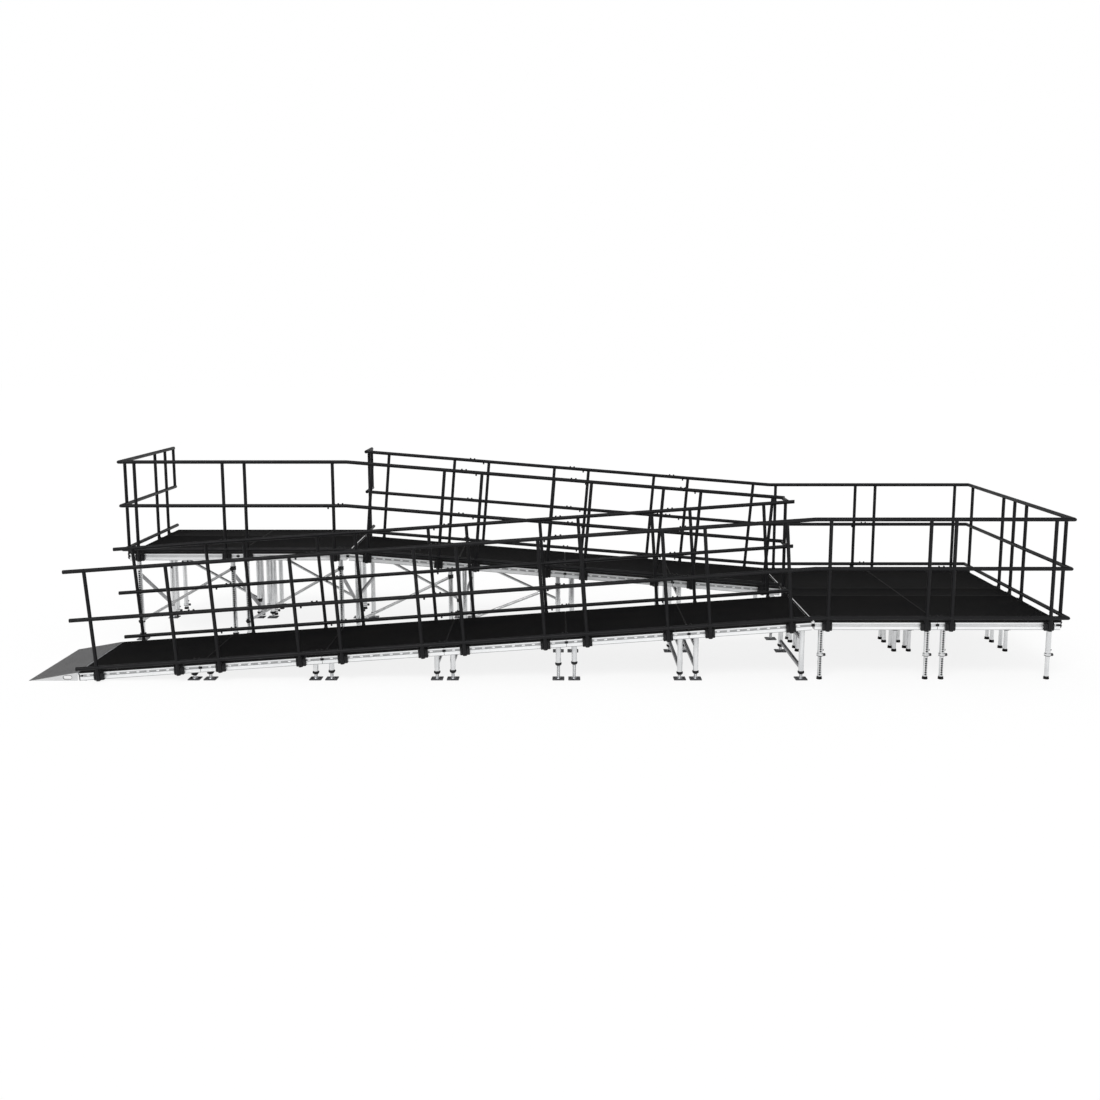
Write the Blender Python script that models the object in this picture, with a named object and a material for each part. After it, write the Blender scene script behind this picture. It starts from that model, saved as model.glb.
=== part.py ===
"""Modular stage ramp that doubles back on itself.

A hinged entry wedge leads to six sloping deck modules, a level landing of four modules and a filler
strip, four more sloping modules that climb back the other way, and a top landing with its own filler.
Guardrails of tube clamp to the outer edges. X runs along the ramp, Y from front to back, Z up, and the
floor is at Z = 0 with the origin under the middle of the whole ramp. Units are metres.
"""

import math

import bmesh
import bpy
from mathutils import Matrix, Vector

# Deck modules
DECK_SIDE = 1.2192
PANEL_THICKNESS = 0.012
CHANNEL_HEIGHT = 0.076
CHANNEL_FLANGE = 0.036
CHANNEL_WALL = 0.004
GROOVE_DEPTH = 0.006
GROOVE_HEIGHT = 0.022
GROOVE_DROP = 0.016
SLOT_LENGTH = 0.048
SLOT_HEIGHT = 0.016
SLOT_PITCH = 0.100
SLOT_COUNT = 7
JOIST_WIDTH = 0.030
JOIST_HEIGHT = 0.050

# Layout: deck heights above the floor, counts of modules and the strips that fill the widths
LANDING_HEIGHT = 0.6096
TOP_HEIGHT = 1.016
LOWER_DECKS = 6
UPPER_DECKS = 4
LANDING_COLUMNS = 2
TOP_DECKS = 2
RUN_GAP = 0.400
TOP_FILLER_DEPTH = 0.470
STRIP_WIDTH = 0.030
STRIP_THICKNESS = 0.004
STRIP_BITE = 0.006
MODULE_GAP = 0.004
FIT_GAP = 0.0003

# Legs with screw jacks and base plates, under the sloping modules and the top landing
LEG_END_INSET = 0.078
LEG_SIDE_INSET = 0.070
LEG_RADIUS = 0.0265
SOCKET_SIDE = 0.070
SOCKET_RECESS = 0.002
STOCK_TUBES = (0.075, 0.16, 0.34, 0.42, 0.53, 0.73, 0.84)
LEAST_JACK = 0.035
SPINDLE_RADIUS = 0.0165
SLIDE_CLEARANCE = 0.0006
JACK_BORE = 0.140
JACK_SPARE = 0.040
NUT_RADIUS = 0.037
NUT_HEIGHT = 0.040
PLATE_SIDE = 0.120
PLATE_THICKNESS = 0.008

# Telescopic legs with rubber caps, under the landing and the fillers
COLLAR_TOP = 0.270
TOP_FILLER_COLLAR = 0.075
COLLAR_HEIGHT = 0.032
COLLAR_RADIUS = 0.0335
INNER_RADIUS = 0.0215
INNER_BORE = 0.280
INNER_SPARE = 0.150
CAP_RADIUS = 0.0285
CAP_HEIGHT = 0.030
KNOB_RADIUS = 0.016
KNOB_LENGTH = 0.024
KNOB_LEVEL = 0.0192
KNOB_STEM_RADIUS = 0.005

# Braces
BRACE_RADIUS = 0.016
BRACE_LOW = 0.220
BRACE_DROP = 0.100
BRACE_CLAMP = 0.046
BRACED_DECKS = 2
TIE_SIDE = 0.032
TIE_LEAST = 0.100
TIE_ABOVE_NUT = 0.004
TIE_DROP = 0.105
TIE_HIGHEST = 0.500
TIE_ROOM = 0.150
STEEP_LOW = 0.155
STEEP_DROP = 0.165

# Guardrails
RAIL_RADIUS = 0.022
POST_SIDE = 0.036
RAIL_OUTSET = 0.044
KICK_RAIL = 0.044
MID_RAIL = 0.540
TOP_RAIL = 1.030
RAMP_POST_INSET = 0.207
LANDING_POST_INSET = 0.120
CLAMP_WIDTH = 0.096
CLAMP_DEPTH = 0.064
CLAMP_BELOW = 0.004
GAP_RAIL_PASS = 0.045
RAIL_OVERHANG = 0.100

# Entry wedge
WEDGE_LENGTH = 0.495
WEDGE_PLATE = 0.005
WEDGE_LIP = 0.002
WEDGE_RIB_SET = 0.045
WEDGE_RIB = 0.006
WEDGE_RIBS = 4
WEDGE_GRIP_LENGTH = 0.085
WEDGE_GRIP_HEIGHT = 0.034
WEDGE_GRIP_SET = 0.105
WEDGE_GRIP_LEVEL = 0.42
GLIDE_SIDE = 0.060
GLIDE_HEIGHT = 0.025
HINGE_RADIUS = 0.0065
HINGE_PIN_RADIUS = 0.0030
HINGE_CLEARANCE = 0.0006
HINGE_LEAF = 0.004
HINGE_SPACE = 0.0015
HINGE_KNUCKLES = 5

# Facets on round pieces, and how shapes are joined and tidied
RAIL_SIDES = 6
LEG_SIDES = 6
BRACE_SIDES = 6
HINGE_SIDES = 6
TIE_SIDES = 4
GRIP_FACETS = 4
OVERLAP = 0.001
MERGE_DISTANCE = 0.00001
SLOPE_ROUNDS = 6
FLAT_ANGLE = 0.2
SMOOTH_ANGLE = 50.0

ALUMINIUM = ("aluminium", (0.80, 0.81, 0.83), 0.35, 0.9)
DECKING = ("black_decking", (0.012, 0.012, 0.013), 0.75, 0.0)
BLACK_STEEL = ("black_steel", (0.01, 0.01, 0.011), 0.4, 0.3)
RUBBER = ("black_rubber", (0.015, 0.015, 0.015), 0.8, 0.0)
GREY_PLATE = ("grey_tread", (0.13, 0.13, 0.13), 0.55, 0.4)

FAR_END = DECK_SIDE - LEG_END_INSET
BOTH_ENDS = (LEG_END_INSET, FAR_END)

DECK_STACK = PANEL_THICKNESS + CHANNEL_HEIGHT
DECK_PITCH = DECK_SIDE + MODULE_GAP
FRAME_TOP = -PANEL_THICKNESS - FIT_GAP
FRAME_BOTTOM = -DECK_STACK
WEB_INSIDE = GROOVE_DEPTH + CHANNEL_WALL


def clear_scene():
    for item in list(bpy.data.objects):
        bpy.data.objects.remove(item, do_unlink=True)


def lower_slope():
    """Slope of the lower run, whose first module's lower end rests on the floor."""
    slope = 0.0
    for _ in range(SLOPE_ROUNDS):
        slope = math.asin((LANDING_HEIGHT - DECK_STACK * math.cos(slope)) / LOWER_LENGTH)
    return slope


# Sloping lengths: the lower run has a bridging strip at its top, the upper run one at each end
LOWER_LENGTH = LOWER_DECKS * DECK_PITCH + STRIP_WIDTH
UPPER_LENGTH = UPPER_DECKS * DECK_PITCH + 2 * STRIP_WIDTH + MODULE_GAP
LOWER_SLOPE = lower_slope()
UPPER_SLOPE = math.asin((TOP_HEIGHT - LANDING_HEIGHT) / UPPER_LENGTH)
LOWER_REACH = LOWER_LENGTH * math.cos(LOWER_SLOPE)
UPPER_REACH = UPPER_LENGTH * math.cos(UPPER_SLOPE)
LANDING_LENGTH = LANDING_COLUMNS * DECK_PITCH - MODULE_GAP
TOP_LENGTH = TOP_DECKS * DECK_PITCH - MODULE_GAP

FRONT_Y = 0.0
FILLER_Y = DECK_SIDE + MODULE_GAP
REAR_Y = DECK_SIDE + RUN_GAP
REAR_EDGE = REAR_Y + DECK_SIDE
TOP_FILLER_Y = REAR_EDGE + MODULE_GAP
TOP_EDGE = TOP_FILLER_Y + TOP_FILLER_DEPTH
FILLER_DEPTH = RUN_GAP - 2 * MODULE_GAP
TOP_LEFT_X = -UPPER_REACH - TOP_LENGTH

# The whole ramp's extent, which puts the origin under its middle
HINGE_SET = HINGE_RADIUS + HINGE_SPACE
RAIL_FLAT = RAIL_RADIUS * math.cos(math.pi / RAIL_SIDES)
SIDE_REACH = max(RAIL_OUTSET + RAIL_FLAT, CLAMP_DEPTH)
LEFT_END = -LOWER_REACH - HINGE_SET - WEDGE_LENGTH
RIGHT_END = LANDING_LENGTH + SIDE_REACH
FRONT_END = -SIDE_REACH
BACK_END = TOP_EDGE + RAIL_OVERHANG
ORIGIN = Vector((-(LEFT_END + RIGHT_END) / 2, -(FRONT_END + BACK_END) / 2, 0.0))

LEVEL = Vector((0, 0, 1))
RIGHT = Vector((1, 0, 0))
BACK = Vector((0, 1, 0))
LOWER_UP = Vector((-math.sin(LOWER_SLOPE), 0, math.cos(LOWER_SLOPE)))
LOWER_ALONG = Vector((math.cos(LOWER_SLOPE), 0, math.sin(LOWER_SLOPE)))
UPPER_UP = Vector((math.sin(UPPER_SLOPE), 0, math.cos(UPPER_SLOPE)))
UPPER_ALONG = Vector((math.cos(UPPER_SLOPE), 0, -math.sin(UPPER_SLOPE)))


def at(x, y, z):
    """A point given from the landing's front left corner, in the ramp's own frame."""
    return Vector((x, y, z)) + ORIGIN


class Solids:
    """Closed shapes that become one object: the shapes are joined and the cuts are taken away."""

    def __init__(self, *shapes):
        self.shapes = list(shapes)
        self.cuts = []

    def add(self, shape):
        self.shapes.append(shape)

    def cut(self, shape):
        self.cuts.append(shape)


def moved(shape, matrix):
    points, faces = shape
    return [matrix @ p for p in points], faces


def loft(rings):
    """A closed solid through rings of equal counts, with flat ends."""
    count = len(rings[0])
    points = [Vector(p) for ring in rings for p in ring]
    faces = [tuple(reversed(range(count)))]
    for row in range(len(rings) - 1):
        low = row * count
        for i in range(count):
            j = (i + 1) % count
            faces.append((low + i, low + j, low + count + j, low + count + i))
    faces.append(tuple(range(len(points) - count, len(points))))
    return points, faces


def block(low, high):
    x0, y0, z0 = low
    x1, y1, z1 = high
    return loft([[(x0, y0, z), (x1, y0, z), (x1, y1, z), (x0, y1, z)] for z in (z0, z1)])


def side_profile(outline, start, end):
    """A solid with an outline in X and Z, drawn out along Y."""
    return loft([[(x, y, z) for x, z in outline] for y in (start, end)])


def section(radius, sides, z):
    """A polygon with a flat facing local X, so that round pieces seat on their neighbours' faces."""
    turn = 2 * math.pi / sides
    angles = [turn * (i + 0.5) for i in range(sides)]
    return [(radius * math.cos(a), radius * math.sin(a), z) for a in angles]


def turned(profile, sides):
    """A solid turned about Z from (height, radius) pairs, lowest first."""
    return loft([section(radius, sides, z) for z, radius in profile])


def axis_frame(start, direction, flat):
    """A placement with Z along direction and a turned solid's flat facing as near flat as it can."""
    z = Vector(direction).normalized()
    x = (Vector(flat) - z * z.dot(Vector(flat))).normalized()
    return Matrix.Translation(start) @ Matrix((x, z.cross(x), z)).transposed().to_4x4()


def bar(start, end, radius, sides, flat=(0, 1, 0)):
    reach = Vector(end) - Vector(start)
    return moved(turned([(0, radius), (reach.length, radius)], sides), axis_frame(start, reach, flat))


def mitred_bar(first, last, radius, sides, flat):
    """A straight tube between two (point, plane normal) ends, each cut along its plane."""
    along = (last[0] - first[0]).normalized()
    frame = axis_frame(first[0], along, flat).to_3x3()
    rings = []
    for point, normal in (first, last):
        offsets = [frame @ Vector(corner) for corner in section(radius, sides, 0)]
        rings.append([point + o - along * (o.dot(normal) / along.dot(normal)) for o in offsets])
    return loft(rings)


def rim(length, depth):
    """A module's aluminium rim: one section with a ledge for the panel, grooved outside and mitred."""
    groove_top = FRAME_TOP - GROOVE_DROP
    groove_low = groove_top - GROOVE_HEIGHT
    outline = [
        (0, FRAME_BOTTOM),
        (0, groove_low),
        (GROOVE_DEPTH, groove_low),
        (GROOVE_DEPTH, groove_top),
        (0, groove_top),
        (0, FRAME_TOP),
        (CHANNEL_FLANGE, FRAME_TOP),
        (CHANNEL_FLANGE, FRAME_TOP - CHANNEL_WALL),
        (WEB_INSIDE, FRAME_TOP - CHANNEL_WALL),
        (WEB_INSIDE, FRAME_BOTTOM),
    ]
    loops = []
    for inset, z in outline:
        x1 = length - inset
        y1 = depth - inset
        loops.append([(inset, inset, z), (x1, inset, z), (x1, y1, z), (inset, y1, z)])
    points = [Vector(p) for loop in loops for p in loop]
    faces = []
    for row in range(len(loops)):
        low = row * 4
        high = ((row + 1) % len(loops)) * 4
        for i in range(4):
            j = (i + 1) % 4
            faces.append((low + i, low + j, high + j, high + i))
    return points, faces


def slot_cutter(x, y):
    """A long cutter through the groove's floor, for one slot of the channel."""
    z = FRAME_TOP - GROOVE_DROP - GROOVE_HEIGHT / 2
    reach = Vector((SLOT_LENGTH / 2, WEB_INSIDE + CHANNEL_WALL, SLOT_HEIGHT / 2))
    centre = Vector((x, y, z))
    return block(centre - reach, centre + reach)


def slot_cutters():
    """The cutters for the row of slots along the front channel of a ramp module."""
    first = DECK_SIDE / 2 - (SLOT_COUNT - 1) * SLOT_PITCH / 2
    return [slot_cutter(first + i * SLOT_PITCH, 0) for i in range(SLOT_COUNT)]


def joist(x, depth):
    low = WEB_INSIDE - OVERLAP
    top = FRAME_TOP - OVERLAP / 2
    return block((x - JOIST_WIDTH / 2, low, top - JOIST_HEIGHT), (x + JOIST_WIDTH / 2, depth - low, top))


def corner_socket(length, depth, x, y):
    """The cast corner inside the rim that a leg plugs into."""
    half = SOCKET_SIDE / 2
    low = WEB_INSIDE - OVERLAP
    x0, x1 = (low, x + half) if x < length / 2 else (x - half, length - low)
    y0, y1 = (low, y + half) if y < depth / 2 else (y - half, depth - low)
    return block((x0, y0, FRAME_BOTTOM + SOCKET_RECESS), (x1, y1, FRAME_TOP - GROOVE_DROP))


def base_plate():
    half = PLATE_SIDE / 2
    return block((-half, -half, 0), (half, half, PLATE_THICKNESS))


def jack_low(under):
    """Height of a jack nut's underside: below the longest stock tube that fits, or else below the rim."""
    room = under - NUT_HEIGHT - LEAST_JACK
    return under - NUT_HEIGHT - max((tube for tube in STOCK_TUBES if tube <= room), default=0.0)


def jack_leg(solids, foot, socket_z, under, is_loose):
    """A tube with its nut. The spindle and base plate are joined on, unless they are loose."""
    low = jack_low(under)
    place = Matrix.Translation(foot)
    profile = [(low, NUT_RADIUS), (low + NUT_HEIGHT, LEG_RADIUS), (socket_z, LEG_RADIUS)]
    if is_loose:
        solids.add(moved(turned(profile, LEG_SIDES), place))
        bore = SPINDLE_RADIUS + SLIDE_CLEARANCE
        solids.cut(moved(turned([(low - OVERLAP, bore), (low + JACK_BORE, bore)], LEG_SIDES), place))
    else:
        spindle = [(PLATE_THICKNESS - OVERLAP, SPINDLE_RADIUS), (low, SPINDLE_RADIUS)]
        solids.add(moved(turned(spindle + profile, LEG_SIDES), place))
        solids.add(moved(base_plate(), place))
    return low


def inner_profile(top):
    return [(0, CAP_RADIUS), (CAP_HEIGHT, INNER_RADIUS), (top, INNER_RADIUS)]


def telescopic_leg(solids, foot, socket_z, collar_top, is_loose):
    """A tube with its clamp collar. The slimmer inner leg is joined on, unless it is loose."""
    place = Matrix.Translation(foot)
    low = collar_top - COLLAR_HEIGHT
    profile = [(low, COLLAR_RADIUS), (collar_top, LEG_RADIUS), (socket_z, LEG_RADIUS)]
    if is_loose:
        solids.add(moved(turned(profile, LEG_SIDES), place))
        bore = INNER_RADIUS + SLIDE_CLEARANCE
        solids.cut(moved(turned([(low - OVERLAP, bore), (low + INNER_BORE, bore)], LEG_SIDES), place))
        stem = (KNOB_STEM_RADIUS + SLIDE_CLEARANCE) / math.cos(math.pi / LEG_SIDES)
        centre = Vector(foot) + LEVEL * knob_height()
        solids.cut(bar(centre, centre + RIGHT * 2 * COLLAR_RADIUS, stem, LEG_SIDES))
    else:
        solids.add(moved(turned(inner_profile(low) + profile, LEG_SIDES), place))
    return low


def knob_height():
    return COLLAR_TOP - KNOB_LEVEL


def principled(look):
    name, colour, roughness, metallic = look
    material = bpy.data.materials.get(name)
    if material:
        return material
    material = bpy.data.materials.new(name)
    material.use_nodes = True
    shader = material.node_tree.nodes["Principled BSDF"]
    shader.inputs["Base Color"].default_value = (*colour, 1)
    shader.inputs["Roughness"].default_value = roughness
    shader.inputs["Metallic"].default_value = metallic
    return material


def mesh_of(name, shapes, inverse):
    """One mesh in an object's own coordinates from closed shapes given in the ramp's frame."""
    mesh = bpy.data.meshes.new(name)
    points = []
    faces = []
    for shape_points, shape_faces in shapes:
        start = len(points)
        points += [inverse @ p for p in shape_points]
        faces += [tuple(start + i for i in face) for face in shape_faces]
    mesh.from_pydata(points, [], faces)
    work = bmesh.new()
    work.from_mesh(mesh)
    bmesh.ops.recalc_face_normals(work, faces=work.faces)
    work.to_mesh(mesh)
    work.free()
    return mesh


def boolean(target, operation, shapes):
    """Joins the shapes to the target or cuts them from it, and keeps the result as its mesh."""
    matrix = target.matrix_world.copy()
    tool = bpy.data.objects.new("tool", mesh_of("tool", shapes, matrix.inverted()))
    bpy.context.collection.objects.link(tool)
    tool.matrix_world = matrix
    step = target.modifiers.new(operation.lower(), "BOOLEAN")
    step.operation = operation
    step.solver = "EXACT"
    step.use_self = True
    step.object = tool
    bpy.context.view_layer.update()
    graph = bpy.context.evaluated_depsgraph_get()
    result = bpy.data.meshes.new_from_object(target.evaluated_get(graph))
    target.modifiers.remove(step)
    target.data = result
    bpy.data.objects.remove(tool, do_unlink=True)


def dissolve_flats(mesh):
    """Drops the points and edges that a union leaves on flat faces and straight edges."""
    work = bmesh.new()
    work.from_mesh(mesh)
    bmesh.ops.remove_doubles(work, verts=work.verts, dist=MERGE_DISTANCE)
    flat = math.radians(FLAT_ANGLE)
    bmesh.ops.dissolve_limit(work, angle_limit=flat, verts=work.verts, edges=work.edges)
    work.to_mesh(mesh)
    work.free()


def make(name, solids, look, place=None):
    """A named object from a group of shapes, with its own origin at the given placement."""
    place = place or Matrix.Identity(4)
    item = bpy.data.objects.new(name, mesh_of(name, solids.shapes[:1], place.inverted()))
    bpy.context.collection.objects.link(item)
    item.matrix_world = place
    bpy.context.view_layer.update()
    if solids.shapes[1:]:
        boolean(item, "UNION", solids.shapes[1:])
    if solids.cuts:
        boolean(item, "DIFFERENCE", solids.cuts)
    dissolve_flats(item.data)
    item.data.name = name
    item.data.materials.clear()
    item.data.materials.append(principled(look))
    item.data.shade_smooth()
    item.data.set_sharp_from_angle(angle=math.radians(SMOOTH_ANGLE))
    return item


def module(name, place, depth=DECK_SIDE, telescopic=False, ends=None, loose=(), slotted=False, **extra):
    """A deck module: its frame with legs and braces, and the black panel that lies on it.

    Returns the foot point and the height of the nut or collar for each leg, by its place in the module.
    """
    solids = Solids(moved(rim(DECK_SIDE, depth), place))
    if slotted:
        for cutter in slot_cutters():
            solids.cut(moved(cutter, place))
    if depth == DECK_SIDE:
        solids.add(moved(joist(DECK_SIDE / 2, depth), place))
    feet = {}
    for x in ends or BOTH_ENDS:
        for y in (LEG_SIDE_INSET, depth - LEG_SIDE_INSET):
            solids.add(moved(corner_socket(DECK_SIDE, depth, x, y), place))
            middle = place @ Vector((x, y, (FRAME_TOP + FRAME_BOTTOM) / 2))
            under = (place @ Vector((x, y, FRAME_BOTTOM))).z
            foot = Vector((middle.x, middle.y, 0))
            if telescopic:
                collar = extra.get("collar", COLLAR_TOP)
                low = telescopic_leg(solids, foot, middle.z, collar, (x, y) in loose)
            else:
                low = jack_leg(solids, foot, middle.z, under, (x, y) in loose)
            feet[(x, y)] = (foot, low, under)
    if not telescopic:
        cross_ties(solids, feet, extra.get("tied", BOTH_ENDS), extra.get("steep", False))
    if extra.get("braced"):
        long_braces(solids, feet)
    if extra.get("strip"):
        solids.add(moved(bridging_strip(extra["strip"]), place))
    for shape in extra.get("joined", ()):
        solids.add(shape)
    for shape in extra.get("bored", ()):
        solids.cut(shape)
    make(name.replace("deck", "frame"), solids, ALUMINIUM, place)
    panel = block((FIT_GAP, FIT_GAP, -PANEL_THICKNESS), (DECK_SIDE - FIT_GAP, depth - FIT_GAP, 0))
    make(name, Solids(moved(panel, place)), DECKING, place)
    return feet


def bridging_strip(side):
    """The light strip that carries the walking surface over a change of slope, at one end."""
    ledge = -PANEL_THICKNESS - STRIP_THICKNESS
    low = ledge - STRIP_THICKNESS
    inner = -STRIP_BITE
    edge = OVERLAP
    outline = [(inner, low), (STRIP_WIDTH, low), (STRIP_WIDTH, 0), (edge, 0), (edge, ledge), (inner, ledge)]
    if side > 0:
        outline = [(DECK_SIDE + x, z) for x, z in outline]
    else:
        outline = [(-x, z) for x, z in outline]
    return side_profile(outline, 0, DECK_SIDE)


def cross_ties(solids, feet, ends, steep):
    """Tubes from front leg to rear leg at the given ends: one steep, or level ones where they fit."""
    for x in ends:
        if (x, LEG_SIDE_INSET) not in feet:
            continue
        front, low, under = feet[(x, LEG_SIDE_INSET)]
        rear = feet[(x, DECK_SIDE - LEG_SIDE_INSET)][0]
        heights = [(under - STEEP_DROP, STEEP_LOW)] if steep else level_ties(low, under)
        for at_front, at_rear in heights:
            start = front + LEVEL * at_front
            end = rear + LEVEL * at_rear
            solids.add(bar(start, end, TIE_SIDE / math.sqrt(2), TIE_SIDES, RIGHT))


def level_ties(low, under):
    """Heights of the level ties: one below the rim, and on the longer low legs one above the nuts."""
    lower = max(TIE_LEAST, low + NUT_HEIGHT + TIE_ABOVE_NUT + TIE_SIDE / 2)
    upper = min(under - TIE_DROP, TIE_HIGHEST)
    heights = []
    if upper >= lower:
        heights.append((upper, upper))
    if upper < TIE_HIGHEST and upper - lower > TIE_ROOM:
        heights.append((lower, lower))
    return heights


def long_braces(solids, feet):
    """Tubes between the legs along the ramp: one way in front, the other way behind, with clamps."""
    left = min(x for x, y in feet)
    right = max(x for x, y in feet)
    rows = sorted({y for x, y in feet})
    for y, low_x, high_x, outward in ((rows[0], left, right, -1), (rows[-1], right, left, 1)):
        shift = BACK * outward * (LEG_RADIUS + BRACE_RADIUS)
        start = feet[(low_x, y)][0] + LEVEL * BRACE_LOW + shift
        end = feet[(high_x, y)][0] + LEVEL * (feet[(high_x, y)][2] - BRACE_DROP) + shift
        solids.add(bar(start, end, BRACE_RADIUS, BRACE_SIDES))
        half = BRACE_CLAMP / 2
        inner = LEG_RADIUS / 2
        outer = 2 * BRACE_RADIUS + LEG_RADIUS + OVERLAP
        for spot in (start, end):
            y0, y1 = sorted((spot.y - shift.y + outward * inner, spot.y - shift.y + outward * outer))
            solids.add(block((spot.x - half, y0, spot.z - half), (spot.x + half, y1, spot.z + half)))


def lower_places():
    """Placements of the lower run's modules, lowest first."""
    top = at(0, FRONT_Y, LANDING_HEIGHT)
    turn = Matrix.Rotation(-LOWER_SLOPE, 4, "Y")
    starts = [top - LOWER_ALONG * (LOWER_LENGTH - index * DECK_PITCH) for index in range(LOWER_DECKS)]
    return [Matrix.Translation(start) @ turn for start in starts]


def upper_places():
    """Placements of the upper run's modules, lowest first. Their X axes fall towards the landing."""
    foot = at(0, REAR_Y, LANDING_HEIGHT)
    turn = Matrix.Rotation(UPPER_SLOPE, 4, "Y")
    reach = STRIP_WIDTH + MODULE_GAP + DECK_SIDE
    starts = [foot - UPPER_ALONG * (reach + index * DECK_PITCH) for index in range(UPPER_DECKS)]
    return [Matrix.Translation(start) @ turn for start in starts]


def hinge_axis():
    """The front end of the entry wedge's hinge line."""
    corner = lower_places()[0].translation
    return Vector((corner.x - HINGE_SET, corner.y, corner.z - HINGE_RADIUS))


def hinge_spans(on_deck):
    """Where the knuckles lie along the hinge: the deck's and the wedge's take turns."""
    pitch = DECK_SIDE / HINGE_KNUCKLES
    first = 0 if on_deck else 1
    return [(i * pitch + FIT_GAP, (i + 1) * pitch - FIT_GAP) for i in range(first, HINGE_KNUCKLES, 2)]


def deck_hinge():
    """The first frame's knuckles with their leaves, the bore for the pin, and the floor glides."""
    axis = hinge_axis()
    joined = []
    face = HINGE_SET
    leaf_top = -PANEL_THICKNESS - FIT_GAP - HINGE_CLEARANCE + HINGE_RADIUS
    leaf_low = leaf_top - GROOVE_DROP + 2 * HINGE_CLEARANCE
    near = HINGE_CLEARANCE
    outline = [
        (near, 0),
        (near, leaf_low),
        (face + GROOVE_DEPTH, leaf_low),
        (face + GROOVE_DEPTH, leaf_top),
        (near + HINGE_LEAF, leaf_top),
        (near + HINGE_LEAF, 0),
    ]
    place = Matrix.Translation(axis)
    for start, end in hinge_spans(True):
        joined.append(bar(axis + BACK * start, axis + BACK * end, HINGE_RADIUS, HINGE_SIDES, RIGHT))
        joined.append(moved(side_profile(outline, start + FIT_GAP, end - FIT_GAP), place))
    radius = HINGE_PIN_RADIUS + HINGE_CLEARANCE
    start = axis - BACK * OVERLAP
    bore = bar(start, start + BACK * (DECK_SIDE + 2 * OVERLAP), radius, HINGE_SIDES, RIGHT)
    left = axis.x + HINGE_SET + CHANNEL_FLANGE / 2
    for y in (WEB_INSIDE - OVERLAP, DECK_SIDE - WEB_INSIDE + OVERLAP - GLIDE_SIDE):
        low = (left, axis.y + y, 0)
        joined.append(block(low, (left + GLIDE_SIDE, axis.y + y + GLIDE_SIDE, GLIDE_HEIGHT)))
    return joined, [bore]


def entry_wedge():
    """The hinged flap from the floor: sloping plate, upright ribs, knuckles and pin, and side grips."""
    axis = hinge_axis()
    place = Matrix.Translation(axis)
    floor = -axis.z
    top = HINGE_RADIUS
    tip = -WEDGE_LENGTH
    back = -HINGE_RADIUS - HINGE_CLEARANCE
    fall = (top - floor - WEDGE_LIP) / (back - tip)
    toe = tip + (WEDGE_PLATE - WEDGE_LIP) / fall
    plate = [(tip, floor), (toe, floor), (back, top - WEDGE_PLATE), (back, top), (tip, floor + WEDGE_LIP)]
    solids = Solids(moved(side_profile(plate, 0, DECK_SIDE), place))
    rib_tip = tip + WEDGE_RIB_SET
    rib_top = floor + WEDGE_LIP + fall * WEDGE_RIB_SET - WEDGE_PLATE / 2
    rib = [(rib_tip, floor), (back - OVERLAP, floor), (back - OVERLAP, top - WEDGE_PLATE / 2), (rib_tip, rib_top)]
    pitch = (DECK_SIDE - WEDGE_RIB - 2 * OVERLAP) / (WEDGE_RIBS - 1)
    for index in range(WEDGE_RIBS):
        y = OVERLAP + index * pitch
        solids.add(moved(side_profile(rib, y, y + WEDGE_RIB), place))
    web = [(back - WEDGE_PLATE, 0), (0, 0), (0, top - OVERLAP / 2), (back - WEDGE_PLATE, top - 2 * OVERLAP)]
    for start, end in hinge_spans(False):
        solids.add(bar(axis + BACK * start, axis + BACK * end, HINGE_RADIUS, HINGE_SIDES, RIGHT))
        solids.add(moved(side_profile(web, start + FIT_GAP, end - FIT_GAP), place))
    solids.add(bar(axis + BACK * FIT_GAP, axis + BACK * DECK_SIDE, HINGE_PIN_RADIUS, HINGE_SIDES, RIGHT))
    for y in (OVERLAP, DECK_SIDE - WEDGE_RIB - OVERLAP):
        grip = side_profile(grip_outline(floor), y - OVERLAP / 2, y + WEDGE_RIB + OVERLAP / 2)
        solids.cut(moved(grip, place))
    make("entry_wedge", solids, GREY_PLATE, place)


def grip_outline(floor):
    """An oval in X and Z in the wedge's side, with short facets round each end."""
    rise = WEDGE_GRIP_HEIGHT / 2
    reach = WEDGE_GRIP_LENGTH / 2 - rise
    height = floor * (1 - WEDGE_GRIP_LEVEL)
    outline = []
    for side in (1, -1):
        for step in range(GRIP_FACETS + 1):
            angle = math.pi * (step / GRIP_FACETS - 0.5)
            x = side * (reach + rise * math.cos(angle)) - WEDGE_GRIP_SET
            outline.append((x, height + side * rise * math.sin(angle)))
    return outline


def upright_cut(start, along, up, x):
    """An end plane for rails that stop at a vertical plane across X."""

    def place(height):
        point = start + up * height
        return point + along * ((x - point.x) / along.x), RIGHT

    return place


def bend(point, up_a, along_a, up_b, along_b, sign):
    """An end plane where two rails meet at a change of slope, half the fit gap from their mitre."""

    def place(height):
        middle = point + (up_a + up_b) * (height / (1 + up_a.dot(up_b)))
        normal = (along_a + along_b).normalized()
        return middle + normal * (sign * FIT_GAP / 2), normal

    return place


def corner(point, along_a, along_b, sign):
    """An end plane where two level rails meet at a square corner."""
    return bend(point, LEVEL, along_a, LEVEL, along_b, sign)


def clamp_block(edge, along, up, outward):
    """The block that bolts a post to the channel, clear of the channel by the fit gap."""
    rings = []
    for height in (-DECK_STACK - CLAMP_BELOW, -PANEL_THICKNESS / 2):
        ring = []
        for reach, side in ((FIT_GAP, -1), (CLAMP_DEPTH, -1), (CLAMP_DEPTH, 1), (FIT_GAP, 1)):
            ring.append(edge + outward * reach + along * (side * CLAMP_WIDTH / 2) + up * height)
        rings.append(ring)
    return loft(rings)


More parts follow.
